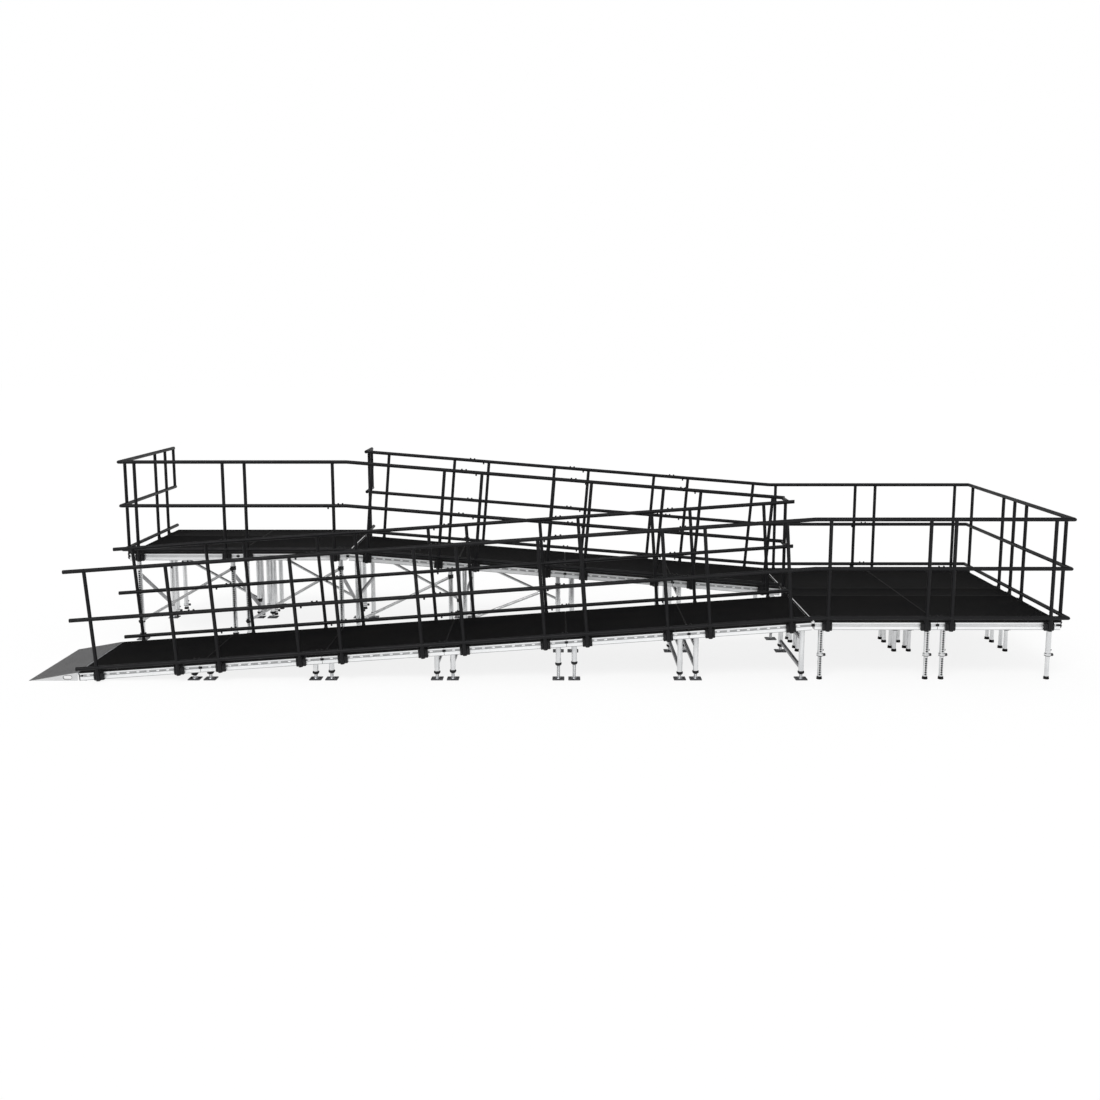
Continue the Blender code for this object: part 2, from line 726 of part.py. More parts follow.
def post(foot, along, up, outward):
    """A post from inside its clamp to inside the top rail, a little narrower than the rails."""
    half = POST_SIDE / 2
    rings = []
    for height in (-DECK_STACK + CLAMP_BELOW, TOP_RAIL):
        corners = ((-1, -1), (1, -1), (1, 1), (-1, 1))
        rings.append([foot + (along * a + outward * o) * half + up * height for a, o in corners])
    return loft(rings)


def guardrail(name, start, end, up, outward, posts, start_cut=None, end_cut=None, closed_end=False):
    """Three parallel rails from start to end, with posts and the clamps that hold them to the channel.

    start and end are points of the deck's edge moved outward by the rails' outset, up is square to the
    deck, posts are distances from start. The cuts give each end's point and plane by rail height.
    """
    along = (end - start).normalized()
    ends = {}
    for height in (KICK_RAIL, MID_RAIL, TOP_RAIL):
        first = start_cut(height) if start_cut else (start + up * height, along)
        last = end_cut(height) if end_cut else (end + up * height, along)
        ends[height] = (first, last)
    solids = Solids()
    for first, last in ends.values():
        solids.add(mitred_bar(first, last, RAIL_RADIUS, RAIL_SIDES, outward))
    for distance in posts:
        foot = start + along * distance
        solids.add(post(foot, along, up, outward))
        solids.add(clamp_block(foot - outward * RAIL_OUTSET, along, up, outward))
    if closed_end:
        inset = along * RAIL_RADIUS
        low = ends[MID_RAIL][1][0] - inset
        high = ends[TOP_RAIL][1][0] - inset
        solids.add(bar(low, high, POST_SIDE / 2, RAIL_SIDES, outward))
    make(name, solids, BLACK_STEEL)


def post_pairs(offset, count, inset):
    """Two posts a module, the same distance in from its ends."""
    for index in range(count):
        yield offset + index * DECK_PITCH + inset
        yield offset + index * DECK_PITCH + DECK_SIDE - inset


def guardrails():
    """Every guardrail section, each drawn from its left or front end."""
    front_y = -RAIL_OUTSET
    lower_inner_y = DECK_SIDE + RAIL_OUTSET
    upper_inner_y = REAR_Y - RAIL_OUTSET
    rear_y = REAR_EDGE + RAIL_OUTSET
    right_x = LANDING_LENGTH + RAIL_OUTSET
    left_x = TOP_LEFT_X - RAIL_OUTSET
    side_post = RAIL_OUTSET + LANDING_POST_INSET
    side_post_far = RAIL_OUTSET + DECK_SIDE - LANDING_POST_INSET
    upper_posts = STRIP_WIDTH + MODULE_GAP

    # Front of the lower run, then round the landing
    front_bend = at(0, front_y, LANDING_HEIGHT)
    front_corner = at(right_x, front_y, LANDING_HEIGHT)
    rear_corner = at(right_x, rear_y, LANDING_HEIGHT)
    rear_bend = at(0, rear_y, LANDING_HEIGHT)
    guardrail(
        "lower_front_guardrail",
        front_bend - LOWER_ALONG * LOWER_LENGTH,
        front_bend,
        LOWER_UP,
        -BACK,
        post_pairs(0, LOWER_DECKS, RAMP_POST_INSET),
        end_cut=bend(front_bend, LOWER_UP, LOWER_ALONG, LEVEL, RIGHT, -1),
    )
    guardrail(
        "landing_front_guardrail",
        front_bend,
        front_corner,
        LEVEL,
        -BACK,
        post_pairs(0, LANDING_COLUMNS, LANDING_POST_INSET),
        start_cut=bend(front_bend, LOWER_UP, LOWER_ALONG, LEVEL, RIGHT, 1),
        end_cut=corner(front_corner, RIGHT, BACK, -1),
    )
    guardrail(
        "landing_right_guardrail",
        front_corner,
        rear_corner,
        LEVEL,
        RIGHT,
        [side_post, side_post_far, side_post_far + (side_post + REAR_Y - side_post_far) / 2]
        + [REAR_Y + side_post, REAR_Y + side_post_far],
        start_cut=corner(front_corner, RIGHT, BACK, 1),
        end_cut=corner(rear_corner, BACK, -RIGHT, -1),
    )
    guardrail(
        "landing_rear_guardrail",
        rear_bend,
        rear_corner,
        LEVEL,
        BACK,
        post_pairs(0, LANDING_COLUMNS, LANDING_POST_INSET),
        start_cut=bend(rear_bend, UPPER_UP, UPPER_ALONG, LEVEL, RIGHT, 1),
        end_cut=corner(rear_corner, RIGHT, -BACK, -1),
    )

    # The gap between the runs: the lower run's rear side, the upper run's front side, and the stub
    gap_x = -RAIL_OUTSET
    gap_face = ORIGIN.x + gap_x + RAIL_FLAT
    lower_foot = at(0, lower_inner_y, LANDING_HEIGHT)
    upper_foot = at(0, upper_inner_y, LANDING_HEIGHT)
    upper_head = at(-UPPER_REACH, upper_inner_y, TOP_HEIGHT)
    guardrail(
        "lower_rear_guardrail",
        lower_foot - LOWER_ALONG * LOWER_LENGTH,
        lower_foot,
        LOWER_UP,
        BACK,
        post_pairs(0, LOWER_DECKS, RAMP_POST_INSET),
        end_cut=upright_cut(lower_foot, LOWER_ALONG, LOWER_UP, gap_face + GAP_RAIL_PASS),
    )
    stub_start = at(gap_x, lower_inner_y + RAIL_FLAT + FIT_GAP, LANDING_HEIGHT)
    stub_end = at(gap_x, upper_inner_y - RAIL_FLAT - FIT_GAP, LANDING_HEIGHT)
    middle = (stub_end - stub_start).length / 2
    guardrail("landing_gap_guardrail", stub_start, stub_end, LEVEL, -RIGHT, [middle])
    guardrail(
        "upper_front_guardrail",
        upper_head,
        upper_foot,
        UPPER_UP,
        -BACK,
        post_pairs(upper_posts, UPPER_DECKS, RAMP_POST_INSET),
        start_cut=bend(upper_head, LEVEL, RIGHT, UPPER_UP, UPPER_ALONG, 1),
        end_cut=upright_cut(upper_foot, UPPER_ALONG, UPPER_UP, gap_face),
    )

    # Round the top landing, and the rear side of the upper run
    top_corner = at(left_x, upper_inner_y, TOP_HEIGHT)
    guardrail(
        "top_front_guardrail",
        top_corner,
        upper_head,
        LEVEL,
        -BACK,
        post_pairs(RAIL_OUTSET, TOP_DECKS, LANDING_POST_INSET),
        start_cut=corner(top_corner, RIGHT, -BACK, 1),
        end_cut=bend(upper_head, LEVEL, RIGHT, UPPER_UP, UPPER_ALONG, -1),
    )
    filler_post = RAIL_OUTSET + DECK_SIDE + MODULE_GAP + TOP_FILLER_DEPTH / 2
    guardrail(
        "top_left_guardrail",
        top_corner,
        at(left_x, TOP_EDGE + RAIL_OVERHANG, TOP_HEIGHT),
        LEVEL,
        -RIGHT,
        [side_post, side_post_far, filler_post],
        start_cut=corner(top_corner, -RIGHT, BACK, 1),
        closed_end=True,
    )
    return_x = -UPPER_REACH + RAIL_OUTSET
    return_start = at(return_x, rear_y - RAIL_FLAT, TOP_HEIGHT)
    guardrail(
        "top_return_guardrail",
        return_start,
        at(return_x, TOP_EDGE, TOP_HEIGHT),
        LEVEL,
        RIGHT,
        [TOP_EDGE - TOP_FILLER_DEPTH / 2 - rear_y + RAIL_FLAT],
        closed_end=True,
    )
    rear_head = at(-UPPER_REACH, rear_y, TOP_HEIGHT)
    rear_cut = ORIGIN.x + return_x + RAIL_FLAT + FIT_GAP
    guardrail(
        "upper_rear_guardrail",
        rear_head,
        rear_bend,
        UPPER_UP,
        BACK,
        post_pairs(upper_posts, UPPER_DECKS, RAMP_POST_INSET),
        start_cut=upright_cut(rear_head, UPPER_ALONG, UPPER_UP, rear_cut),
        end_cut=bend(rear_bend, UPPER_UP, UPPER_ALONG, LEVEL, RIGHT, -1),
    )


def lower_run():
    """The six sloping modules from the floor. The front jack between most of them is loose."""
    for index, place in enumerate(lower_places()):
        number = index + 1
        spot = (FAR_END, LEG_SIDE_INSET)
        is_loose = 1 < number < LOWER_DECKS
        extra = {}
        if number == 1:
            joined, bored = deck_hinge()
            extra = {"ends": (FAR_END,), "joined": joined, "bored": bored}
        if number == LOWER_DECKS:
            extra = {"strip": 1}
        loose = (spot,) if is_loose else ()
        feet = module(f"lower_deck_{number}", place, slotted=True, loose=loose, **extra)
        if is_loose:
            loose_jack(f"lower_jack_{number}", *feet[spot][:2])


def upper_run():
    """The four sloping modules and the top landing, all on jacks; the tall ones are braced."""
    for index, place in enumerate(upper_places()):
        number = index + 1
        strip = {1: 1, UPPER_DECKS: -1}.get(number)
        braced = number > UPPER_DECKS - BRACED_DECKS
        tied = (LEG_END_INSET,)
        module(f"upper_deck_{number}", place, slotted=True, strip=strip, braced=braced, tied=tied)
    for index in range(TOP_DECKS):
        x = TOP_LEFT_X + index * DECK_PITCH
        place = Matrix.Translation(at(x, REAR_Y, TOP_HEIGHT))
        tied = BOTH_ENDS if index == 0 else (FAR_END,)
        module(f"top_deck_{index + 1}", place, braced=True, tied=tied, steep=True)
        place = Matrix.Translation(at(x, TOP_FILLER_Y, TOP_HEIGHT))
        extra = {"telescopic": True, "collar": TOP_FILLER_COLLAR}
        module(f"top_filler_deck_{index + 1}", place, depth=TOP_FILLER_DEPTH, **extra)


def landing():
    """The level landing on telescopic legs. The two at its front corners have loose inner legs."""
    for column in range(LANDING_COLUMNS):
        x = column * DECK_PITCH
        number = column + 1
        spot = (LEG_END_INSET if column == 0 else FAR_END, LEG_SIDE_INSET)
        place = Matrix.Translation(at(x, FRONT_Y, LANDING_HEIGHT))
        feet = module(f"landing_front_deck_{number}", place, telescopic=True, loose=(spot,))
        foot, low, under = feet[spot]
        loose_leg(f"landing_leg_{number}", foot, low)
        lock_knob(f"landing_leg_knob_{number}", foot)
        place = Matrix.Translation(at(x, FILLER_Y, LANDING_HEIGHT))
        module(f"landing_filler_deck_{number}", place, depth=FILLER_DEPTH, telescopic=True)
        place = Matrix.Translation(at(x, REAR_Y, LANDING_HEIGHT))
        module(f"landing_rear_deck_{number}", place, telescopic=True)


def loose_jack(name, foot, low):
    """A spindle with its base plate, free to run up and down in the nut."""
    place = Matrix.Translation(foot)
    spindle = [(PLATE_THICKNESS - OVERLAP, SPINDLE_RADIUS), (low + JACK_BORE - JACK_SPARE, SPINDLE_RADIUS)]
    solids = Solids(moved(base_plate(), place), moved(turned(spindle, LEG_SIDES), place))
    make(name, solids, ALUMINIUM, place)


def loose_leg(name, foot, low):
    """The inner leg of a telescopic leg, with its rubber cap."""
    place = Matrix.Translation(foot)
    inner = turned(inner_profile(low + INNER_BORE - INNER_SPARE), LEG_SIDES)
    make(name, Solids(moved(inner, place)), ALUMINIUM, place)


def lock_knob(name, foot):
    """The hand knob that clamps an inner leg, turning about its own stem along X."""
    place = axis_frame(foot + LEVEL * knob_height(), RIGHT, BACK)
    flat = math.cos(math.pi / LEG_SIDES)
    head = COLLAR_RADIUS * flat + FIT_GAP
    profile = [
        (INNER_RADIUS * flat + FIT_GAP, KNOB_STEM_RADIUS),
        (head, KNOB_STEM_RADIUS),
        (head, KNOB_RADIUS),
        (head + KNOB_LENGTH, KNOB_RADIUS),
    ]
    make(name, Solids(moved(turned(profile, LEG_SIDES), place)), RUBBER, place)


def main():
    clear_scene()
    lower_run()
    landing()
    upper_run()
    guardrails()
    entry_wedge()


main()
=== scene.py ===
"""Looks of the modular stage ramp: round tubes, threads, clamps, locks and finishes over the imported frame."""

import math

import bmesh
import bpy
from mathutils import Matrix, Vector
from mathutils.geometry import tessellate_polygon

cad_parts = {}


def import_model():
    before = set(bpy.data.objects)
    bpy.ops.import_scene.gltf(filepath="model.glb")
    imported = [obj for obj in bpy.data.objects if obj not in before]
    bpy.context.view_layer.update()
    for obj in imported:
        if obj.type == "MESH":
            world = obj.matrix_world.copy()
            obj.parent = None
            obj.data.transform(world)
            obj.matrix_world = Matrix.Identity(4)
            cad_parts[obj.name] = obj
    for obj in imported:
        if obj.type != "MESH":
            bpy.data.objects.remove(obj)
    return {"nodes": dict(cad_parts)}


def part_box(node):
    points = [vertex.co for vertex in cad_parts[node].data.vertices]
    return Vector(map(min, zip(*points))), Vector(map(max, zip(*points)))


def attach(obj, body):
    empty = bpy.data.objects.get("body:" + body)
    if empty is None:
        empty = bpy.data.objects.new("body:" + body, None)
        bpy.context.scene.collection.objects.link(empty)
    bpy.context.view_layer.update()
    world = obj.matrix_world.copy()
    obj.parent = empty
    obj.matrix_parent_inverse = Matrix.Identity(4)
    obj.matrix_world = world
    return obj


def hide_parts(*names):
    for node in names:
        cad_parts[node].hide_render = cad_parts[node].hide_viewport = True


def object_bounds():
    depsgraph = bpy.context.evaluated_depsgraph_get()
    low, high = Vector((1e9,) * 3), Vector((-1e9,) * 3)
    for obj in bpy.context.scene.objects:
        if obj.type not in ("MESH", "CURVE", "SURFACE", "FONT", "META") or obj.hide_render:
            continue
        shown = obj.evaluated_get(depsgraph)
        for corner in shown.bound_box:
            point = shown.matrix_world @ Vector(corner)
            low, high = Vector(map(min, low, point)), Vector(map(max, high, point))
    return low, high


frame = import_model()
CAD_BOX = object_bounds()

# Sizes shared with the solids, in metres
FIT_GAP = 0.0003
DECK_SIDE = 1.2192
MODULE_GAP = 0.004
PANEL = 0.012
STACK = 0.088
FLANGE = 0.036
WALL = 0.004
GROOVE_DEPTH = 0.006
GROOVE_HEIGHT = 0.022
GROOVE_DROP = 0.016
STRIP_WIDTH = 0.030
STRIP_BITE = 0.006
LEG_END_INSET = 0.078
LEG_SIDE_INSET = 0.070
LEG_RADIUS = 0.0265
SOCKET_SIDE = 0.070
STOCK_TUBES = (0.075, 0.16, 0.34, 0.42, 0.53, 0.73, 0.84)
LEAST_JACK = 0.035
SPINDLE_RADIUS = 0.0165
JACK_REACH = 0.100
NUT_HEIGHT = 0.040
PLATE_SIDE = 0.120
PLATE_THICKNESS = 0.008
COLLAR_TOP = 0.270
TOP_FILLER_COLLAR = 0.075
COLLAR_HEIGHT = 0.032
COLLAR_RADIUS = 0.0335
INNER_RADIUS = 0.0215
INNER_REACH = 0.130
CAP_RADIUS = 0.0285
CAP_HEIGHT = 0.030
KNOB_RADIUS = 0.016
KNOB_LENGTH = 0.024
KNOB_LEVEL = 0.0192
BRACE_RADIUS = 0.016
BRACE_LOW = 0.220
BRACE_DROP = 0.100
TIE_SIDE = 0.032
TIE_LEAST = 0.100
TIE_ABOVE_NUT = 0.004
TIE_DROP = 0.105
TIE_HIGHEST = 0.500
TIE_ROOM = 0.150
STEEP_LOW = 0.155
STEEP_DROP = 0.165
RAIL_RADIUS = 0.022
POST_RADIUS = 0.018
RAIL_OUTSET = 0.044
KICK_RAIL = 0.044
MID_RAIL = 0.540
TOP_RAIL = 1.030
RAMP_POST_INSET = 0.207
LANDING_POST_INSET = 0.120
CLAMP_WIDTH = 0.096
CLAMP_DEPTH = 0.064
GAP_RAIL_PASS = 0.045
RAIL_OVERHANG = 0.100
WEDGE_LENGTH = 0.495
WEDGE_PLATE = 0.005
WEDGE_LIP = 0.002
WEDGE_RIB_SET = 0.045
WEDGE_RIB = 0.006
WEDGE_RIBS = 4
WEDGE_GRIP_LENGTH = 0.085
WEDGE_GRIP_HEIGHT = 0.034
WEDGE_GRIP_SET = 0.105
HINGE_RADIUS = 0.0065
HINGE_SPACE = 0.0015
HINGE_PIN = 0.0030
HINGE_KNUCKLES = 5

FRAME_TOP = -PANEL - FIT_GAP
FRAME_BOTTOM = -STACK
WEB_INSIDE = GROOVE_DEPTH + WALL
FAR_END = DECK_SIDE - LEG_END_INSET
BOTH_ENDS = (LEG_END_INSET, FAR_END)
DECK_PITCH = DECK_SIDE + MODULE_GAP
RAIL_FLAT = RAIL_RADIUS * math.cos(math.pi / 6)
GROOVE_TOP = FRAME_TOP - GROOVE_DROP
GROOVE_LOW = GROOVE_TOP - GROOVE_HEIGHT
GROOVE_MIDDLE = (GROOVE_TOP + GROOVE_LOW) / 2

# Sizes of what only the looks have: tubes and edges
RAIL_TUBE = 0.0199
TUBE_SIDES = 24
BAR_SIDES = 16
SMALL_SIDES = 12
EDGE = 0.0012
THIN_EDGE = 0.0004
SMOOTH_ANGLE = math.radians(40)
SEAT = 0.001
SAME_PLACE = 1e-6

# The rim, its groove and slots, and what sits in them
# Height of the rim's lower lip painted in the darker groove metal, a painted shade line along its bottom edge
PAINTED_SHADE_LIP = 0.006
SHADOW_LINE = 0.006
GROOVE_FLOOR = (GROOVE_LOW, GROOVE_LOW + SHADOW_LINE, GROOVE_TOP - SHADOW_LINE, GROOVE_TOP)
SLOTS = 11
SLOT_LENGTH = 0.032
SLOT_HEIGHT = 0.014
SLOT_PITCH = 0.100
SLOT_SHIFT = 0.018
SLOT_FLOOR = 0.0085
UNDERSIDE_STEP = 0.002
CROSS_HALF = 0.015
CROSS_HEIGHT = 0.050
LOCK_DEPTH = GROOVE_DEPTH * 0.4
TRIM = 0.006
TRIM_STEP = 0.0005
NOSING = 0.009
STRIP_SCREWS = 5
END_CAP = 0.009
END_BOLT = 0.030

# Legs, as (height, radius) pairs where a profile is turned
NUT_BODY = 0.031
NUT_CUP = ((0, 0.0225), (0.002, 0.0245), (0.010, 0.0310), (0.022, 0.0335), (0.028, 0.0315))
THREAD_PITCH = 0.007
THREAD_DEPTH = 0.0018
HOLE_PITCH = 0.023
HOLE_RADIUS = 0.0110
PLATE_HOLE = 0.0055
KNOB_LOBES = 5
KNOB_FACETS = 30
KNOB_WAIST = 0.012
LOBE_DEPTH = 0.0025
BRACE_OVERHANG = 0.020
COUPLER_WIDTH = 0.044

# The wedge, the clamps and the rails' joints
GRIP_LINER = 0.004
TREAD_BARS = 24
HINGE_CLEAR = 0.0006
BAR_INSET = 0.015
GRIP_LEVEL = 0.58
GLIDE_SIDE = 0.060
GLIDE_HEIGHT = 0.025
CLAMP_PLATE = 0.024
CLAMP_FACE = 0.046
BARREL_RADIUS = 0.0215
JOINT_SET = 0.035

# The studio
SKY = 0.62
CEILING = 0.25
SIDE_WALLS = 0.35
FLOOR_GLOW = 0.85
FLOOR_REACH = 90.0
RAYS_IN_VIEW = ("Is Camera Ray", "Is Transmission Ray", "Is Glossy Ray")
LENS = 37.651
LENS_SHIFT = (-0.00707, -0.02258)
CAMERA_FROM_LANDING = (-2.55483, -11.15775)
CAMERA_HEIGHT = 3.27456
CAMERA_TILT = 0.15102

LEVEL = Vector((0, 0, 1))
RIGHT = Vector((1, 0, 0))
BACK = Vector((0, 1, 0))


# Materials


class Nodes:
    """Short ways to add nodes to a tree and to join them."""

    def __init__(self, tree):
        self.tree = tree

    def feed(self, socket, source):
        """Joins a node's output to a socket, or sets the socket to a plain value."""
        if isinstance(source, bpy.types.NodeSocket):
            self.tree.links.new(source, socket)
        else:
            socket.default_value = source

    def add(self, kind, *sources, **values):
        """A node with inputs and settings given by name, and its first inputs given in order."""
        node = self.tree.nodes.new(kind)
        for key, value in values.items():
            if key in node.inputs:
                self.feed(node.inputs[key], value)
            else:
                setattr(node, key, value)
        for socket, source in zip(node.inputs, sources):
            self.feed(socket, source)
        return node

    def math(self, operation, *values):
        """The result of a math node."""
        return self.add("ShaderNodeMath", *values, operation=operation).outputs[0]

    def spread(self, value, low, high, first=0.3, last=0.7):
        """Maps a value from the range first to last, a noise's usual one, to low and high."""
        limits = {"From Min": first, "From Max": last, "To Min": low, "To Max": high}
        return self.add("ShaderNodeMapRange", value, **limits).outputs["Result"]

    def noise(self, scale, detail=3.0, stretch=None):
        """A noise value in object space, drawn out along an axis where stretch says so."""
        place = self.add("ShaderNodeTexCoord").outputs["Object"]
        if stretch:
            place = self.add("ShaderNodeMapping", place, Scale=stretch).outputs["Vector"]
        texture = self.add("ShaderNodeTexNoise", place, Scale=scale, Detail=detail, Roughness=0.55)
        return texture.outputs["Fac"]

    def mixed(self, factor, first, second):
        """A colour between two colours. A mix node has its colours at 6 and 7."""
        node = self.add("ShaderNodeMix", factor, data_type="RGBA")
        for socket, colour in ((6, first), (7, second)):
            node.inputs[socket].default_value = (*colour, 1)
        return node.outputs[2]

    def any_ray(self, *kinds):
        """1 for a ray of one of the kinds, and else 0."""
        path = self.add("ShaderNodeLightPath")
        result = path.outputs[kinds[0]]
        for kind in kinds[1:]:
            result = self.math("MAXIMUM", result, path.outputs[kind])
        return result


class Look(Nodes):
    """A material under construction, with its Principled shader."""

    def __init__(self, name):
        self.material = bpy.data.materials.new(name)
        self.material.use_nodes = True
        super().__init__(self.material.node_tree)
        self.shader = self.tree.nodes["Principled BSDF"]

    def finish(self, colour, rough, height, depth, strength=1.0, metallic=0.0, specular=0.5):
        """Feeds the shader its colour, roughness and relief, and gives the material."""
        bump = self.add("ShaderNodeBump", Strength=strength, Distance=depth, Height=height)
        values = {"Base Color": colour, "Roughness": rough, "Normal": bump.outputs["Normal"]}
        values |= {"Metallic": metallic, "Specular IOR Level": specular}
        for key, source in values.items():
            self.feed(self.shader.inputs[key], source)
        return self.material


def metal(name, pale, dark, rough, grain, along, depth):
    """Brushed or drawn metal: fine lines along its length, cloudy tone and a little handling grime."""
    look = Look(name)
    lines = look.noise(grain, 2.0, along)
    blend = look.math("MULTIPLY", lines, look.spread(look.noise(6.0, 4.0), 0.75, 1.25))
    colour = look.mixed(look.spread(blend, 0, 1), dark, pale)
    return look.finish(colour, look.spread(blend, rough + 0.08, rough - 0.06), lines, depth, metallic=0.85)


def extrusion(name):
    """Mill-finish extrusion: draw lines that follow each side of the rim, whichever way it runs."""
    look = Look(name)
    normal = look.add("ShaderNodeSeparateXYZ", look.add("ShaderNodeNewGeometry").outputs["Normal"])
    across = look.spread(look.math("ABSOLUTE", normal.outputs["X"]), 0, 1, 0.45, 0.55)
    sides = look.add("ShaderNodeMix", across, data_type="FLOAT")
    for socket, along in ((2, (4, 420, 420)), (3, (420, 4, 420))):
        look.feed(sides.inputs[socket], look.noise(1.0, 2.0, along))
    lines = sides.outputs[0]
    tone = look.math("ADD", look.spread(lines, 0.0, 0.5), look.spread(look.noise(5.0, 5.0), 0.0, 0.5))
    colour = look.mixed(tone, (0.80, 0.81, 0.82), (0.93, 0.935, 0.94))
    smudges = look.spread(look.noise(23.0, 4.0), 0.30, 0.46)
    return look.finish(colour, smudges, lines, 0.00015, metallic=0.8)


def coated(name, colour, worn, rough, scale, depth, specular=0.5):
    """Powder coat, a black casting, moulded nylon or rubber: fine texture, dull patches and scuffs."""
    look = Look(name)
    fine = look.noise(scale)
    patches = look.spread(look.noise(9.0, 5.0), rough - 0.07, rough + 0.09)
    wear = look.spread(look.noise(60.0, 6.0, (1, 1, 0.3)), 0, 1, 0.62, 0.75)
    return look.finish(look.mixed(wear, colour, worn), patches, fine, depth, specular=specular)


def grip_panel(name):
    """Film-faced panel: a pressed diamond mesh, a fine tooth, and foot scuffs along the walkway."""
    look = Look(name)
    place = look.add("ShaderNodeTexCoord").outputs["Object"]
    bands = []
    for turn in (0.6, -0.6):
        turned_place = look.add("ShaderNodeMapping", place, Rotation=(0, 0, turn)).outputs["Vector"]
        bands.append(look.add("ShaderNodeTexWave", turned_place, Scale=42.0, Distortion=0.0).outputs["Fac"])
    tooth = look.noise(900.0, 2.0)
    height = look.math("MULTIPLY_ADD", tooth, 0.5, look.math("MAXIMUM", *bands))
    walked = look.noise(3.0, 6.0, (0.6, 1.6, 1))
    tone = look.math("MULTIPLY", look.spread(walked, 0, 1, 0.35, 0.75), look.spread(tooth, 0.4, 1.0))
    colour = look.mixed(tone, (0.0045, 0.0045, 0.005), (0.011, 0.0105, 0.010))
    return look.finish(colour, look.spread(walked, 0.82, 0.95), height, 0.0006, 0.7, specular=0.03)


def tread(name):
    """Grey gritted coat of the wedge: sand grains, with paler worn patches."""
    look = Look(name)
    grit = look.noise(700.0, 2.0)
    path = look.noise(4.0, 5.0, (0.5, 2.0, 1))
    tone = look.math("ADD", look.spread(grit, 0.0, 0.5), look.spread(path, 0.0, 0.5))
    colour = look.mixed(tone, (0.095, 0.095, 0.097), (0.165, 0.165, 0.166))
    return look.finish(colour, look.spread(path, 0.62, 0.8), grit, 0.0008, specular=0.3)


# Metals: pale and dark tone, roughness, scale and stretch of the grain, depth of its relief
EVEN = (1, 1, 1)
RIM = extrusion("mill_aluminium")
TUBE = metal("drawn_tube", (0.80, 0.805, 0.81), (0.60, 0.61, 0.62), 0.26, 1.0, (420, 420, 5), 0.00012)
STEEL = metal("zinc_steel", (0.50, 0.51, 0.53), (0.30, 0.31, 0.33), 0.38, 90.0, EVEN, 0.00010)
# Groove metal: the rim's aluminium painted darker, painted shade for the groove and for the rim's lower lip
PAINTED_GROOVE_SHADE = metal("groove_painted_shade", (0.45, 0.455, 0.46), (0.33, 0.335, 0.34), 0.45, 1.0, (5, 420, 420), 0.00012)
# The ties' steel is the braces' zinc steel painted darker: painted shade for the tubes that run from front to
# rear
TIE_PAINTED_SHADE = metal("tie_steel_painted_shade", (0.32, 0.32, 0.33), (0.18, 0.18, 0.19), 0.42, 60.0, EVEN, 0.00015)
BRACE = metal("zinc_brace", (0.62, 0.625, 0.63), (0.42, 0.425, 0.43), 0.40, 60.0, EVEN, 0.00015)
CHEEK = metal("sheet_aluminium", (0.70, 0.705, 0.71), (0.56, 0.565, 0.57), 0.42, 1.0, (5, 420, 420), 0.00012)
PLATE = metal("dark_plate", (0.20, 0.20, 0.21), (0.08, 0.08, 0.085), 0.5, 45.0, EVEN, 0.0002)

# Black coats: colour, worn colour, roughness, scale and depth of the texture, gloss level
COAT = coated("black_powder_coat", (0.005, 0.005, 0.006), (0.022, 0.022, 0.023), 0.48, 520.0, 0.00010, 0.2)
CAST = coated("black_cast_clamp", (0.006, 0.006, 0.007), (0.04, 0.04, 0.042), 0.55, 240.0, 0.00035, 0.3)
RUBBER = coated("black_rubber", (0.005, 0.005, 0.005), (0.016, 0.016, 0.015), 0.82, 160.0, 0.0003, 0.3)
NYLON = coated("black_nylon", (0.012, 0.012, 0.013), (0.030, 0.030, 0.031), 0.45, 330.0, 0.00012)
DECKING = grip_panel("black_grip_panel")
TREAD = tread("grey_grit_tread")


# Shapes: each is a list of points and a list of faces, in the ramp's frame or a module's own


def moved(shape, matrix):
    """A shape carried along by a matrix."""
    points, faces = shape
    return [matrix @ Vector(p) for p in points], faces


def walls(low, high, count):
    """Faces between two loops of points, one that starts at low and one that starts at high."""
    return [(low + i, low + (i + 1) % count, high + (i + 1) % count, high + i) for i in range(count)]


def loft(rings):
    """A solid through rings of equal counts, with flat ends."""
    count = len(rings[0])
    points = [Vector(p) for ring in rings for p in ring]
    faces = []
    for low in range(0, len(points) - count, count):
        faces += walls(low, low + count, count)
    faces.append(tuple(reversed(range(count))))
    faces.append(tuple(range(len(points) - count, len(points))))
    return points, faces


def circle(radius, sides, z=0.0):
    """Points evenly round the Z axis."""
    turn = 2 * math.pi / sides
    return [(radius * math.cos(turn * i), radius * math.sin(turn * i), z) for i in range(sides)]


def turned(profile, sides=TUBE_SIDES):
    """A solid turned about Z from (height, radius) pairs, lowest first."""
    return loft([circle(radius, sides, z) for z, radius in profile])


def axis_frame(start, direction, flat):
    """A placement with Z along direction and X as near flat as it can be."""
    z = Vector(direction).normalized()
    x = (Vector(flat) - z * z.dot(Vector(flat))).normalized()
    return Matrix.Translation(start) @ Matrix((x, z.cross(x), z)).transposed().to_4x4()


def along_axis(profile, start, direction, sides=TUBE_SIDES, flat=(0.3, 0.9, 0.1)):
    """A turned solid that points along a direction."""
    return moved(turned(profile, sides), axis_frame(start, direction, flat))


def rod(start, end, radius, sides=TUBE_SIDES, edge=EDGE):
    """A round bar or tube with broken edges."""
    reach = (end - start).length
    profile = [(0, radius - edge), (edge, radius), (reach - edge, radius), (reach, radius - edge)]
    return along_axis(profile, start, end - start, sides)


def mitred_bar(first, last, radius, sides=TUBE_SIDES):
    """A straight tube between two (point, plane normal) ends, each cut along its plane."""
    along = (last[0] - first[0]).normalized()
    turn = axis_frame(first[0], along, (0.3, 0.9, 0.1)).to_3x3()
    rings = []
    for point, normal in (first, last):
        offsets = [turn @ Vector(p) for p in circle(radius, sides)]
        rings.append([point + o - along * (o.dot(normal) / along.dot(normal)) for o in offsets])
    return loft(rings)


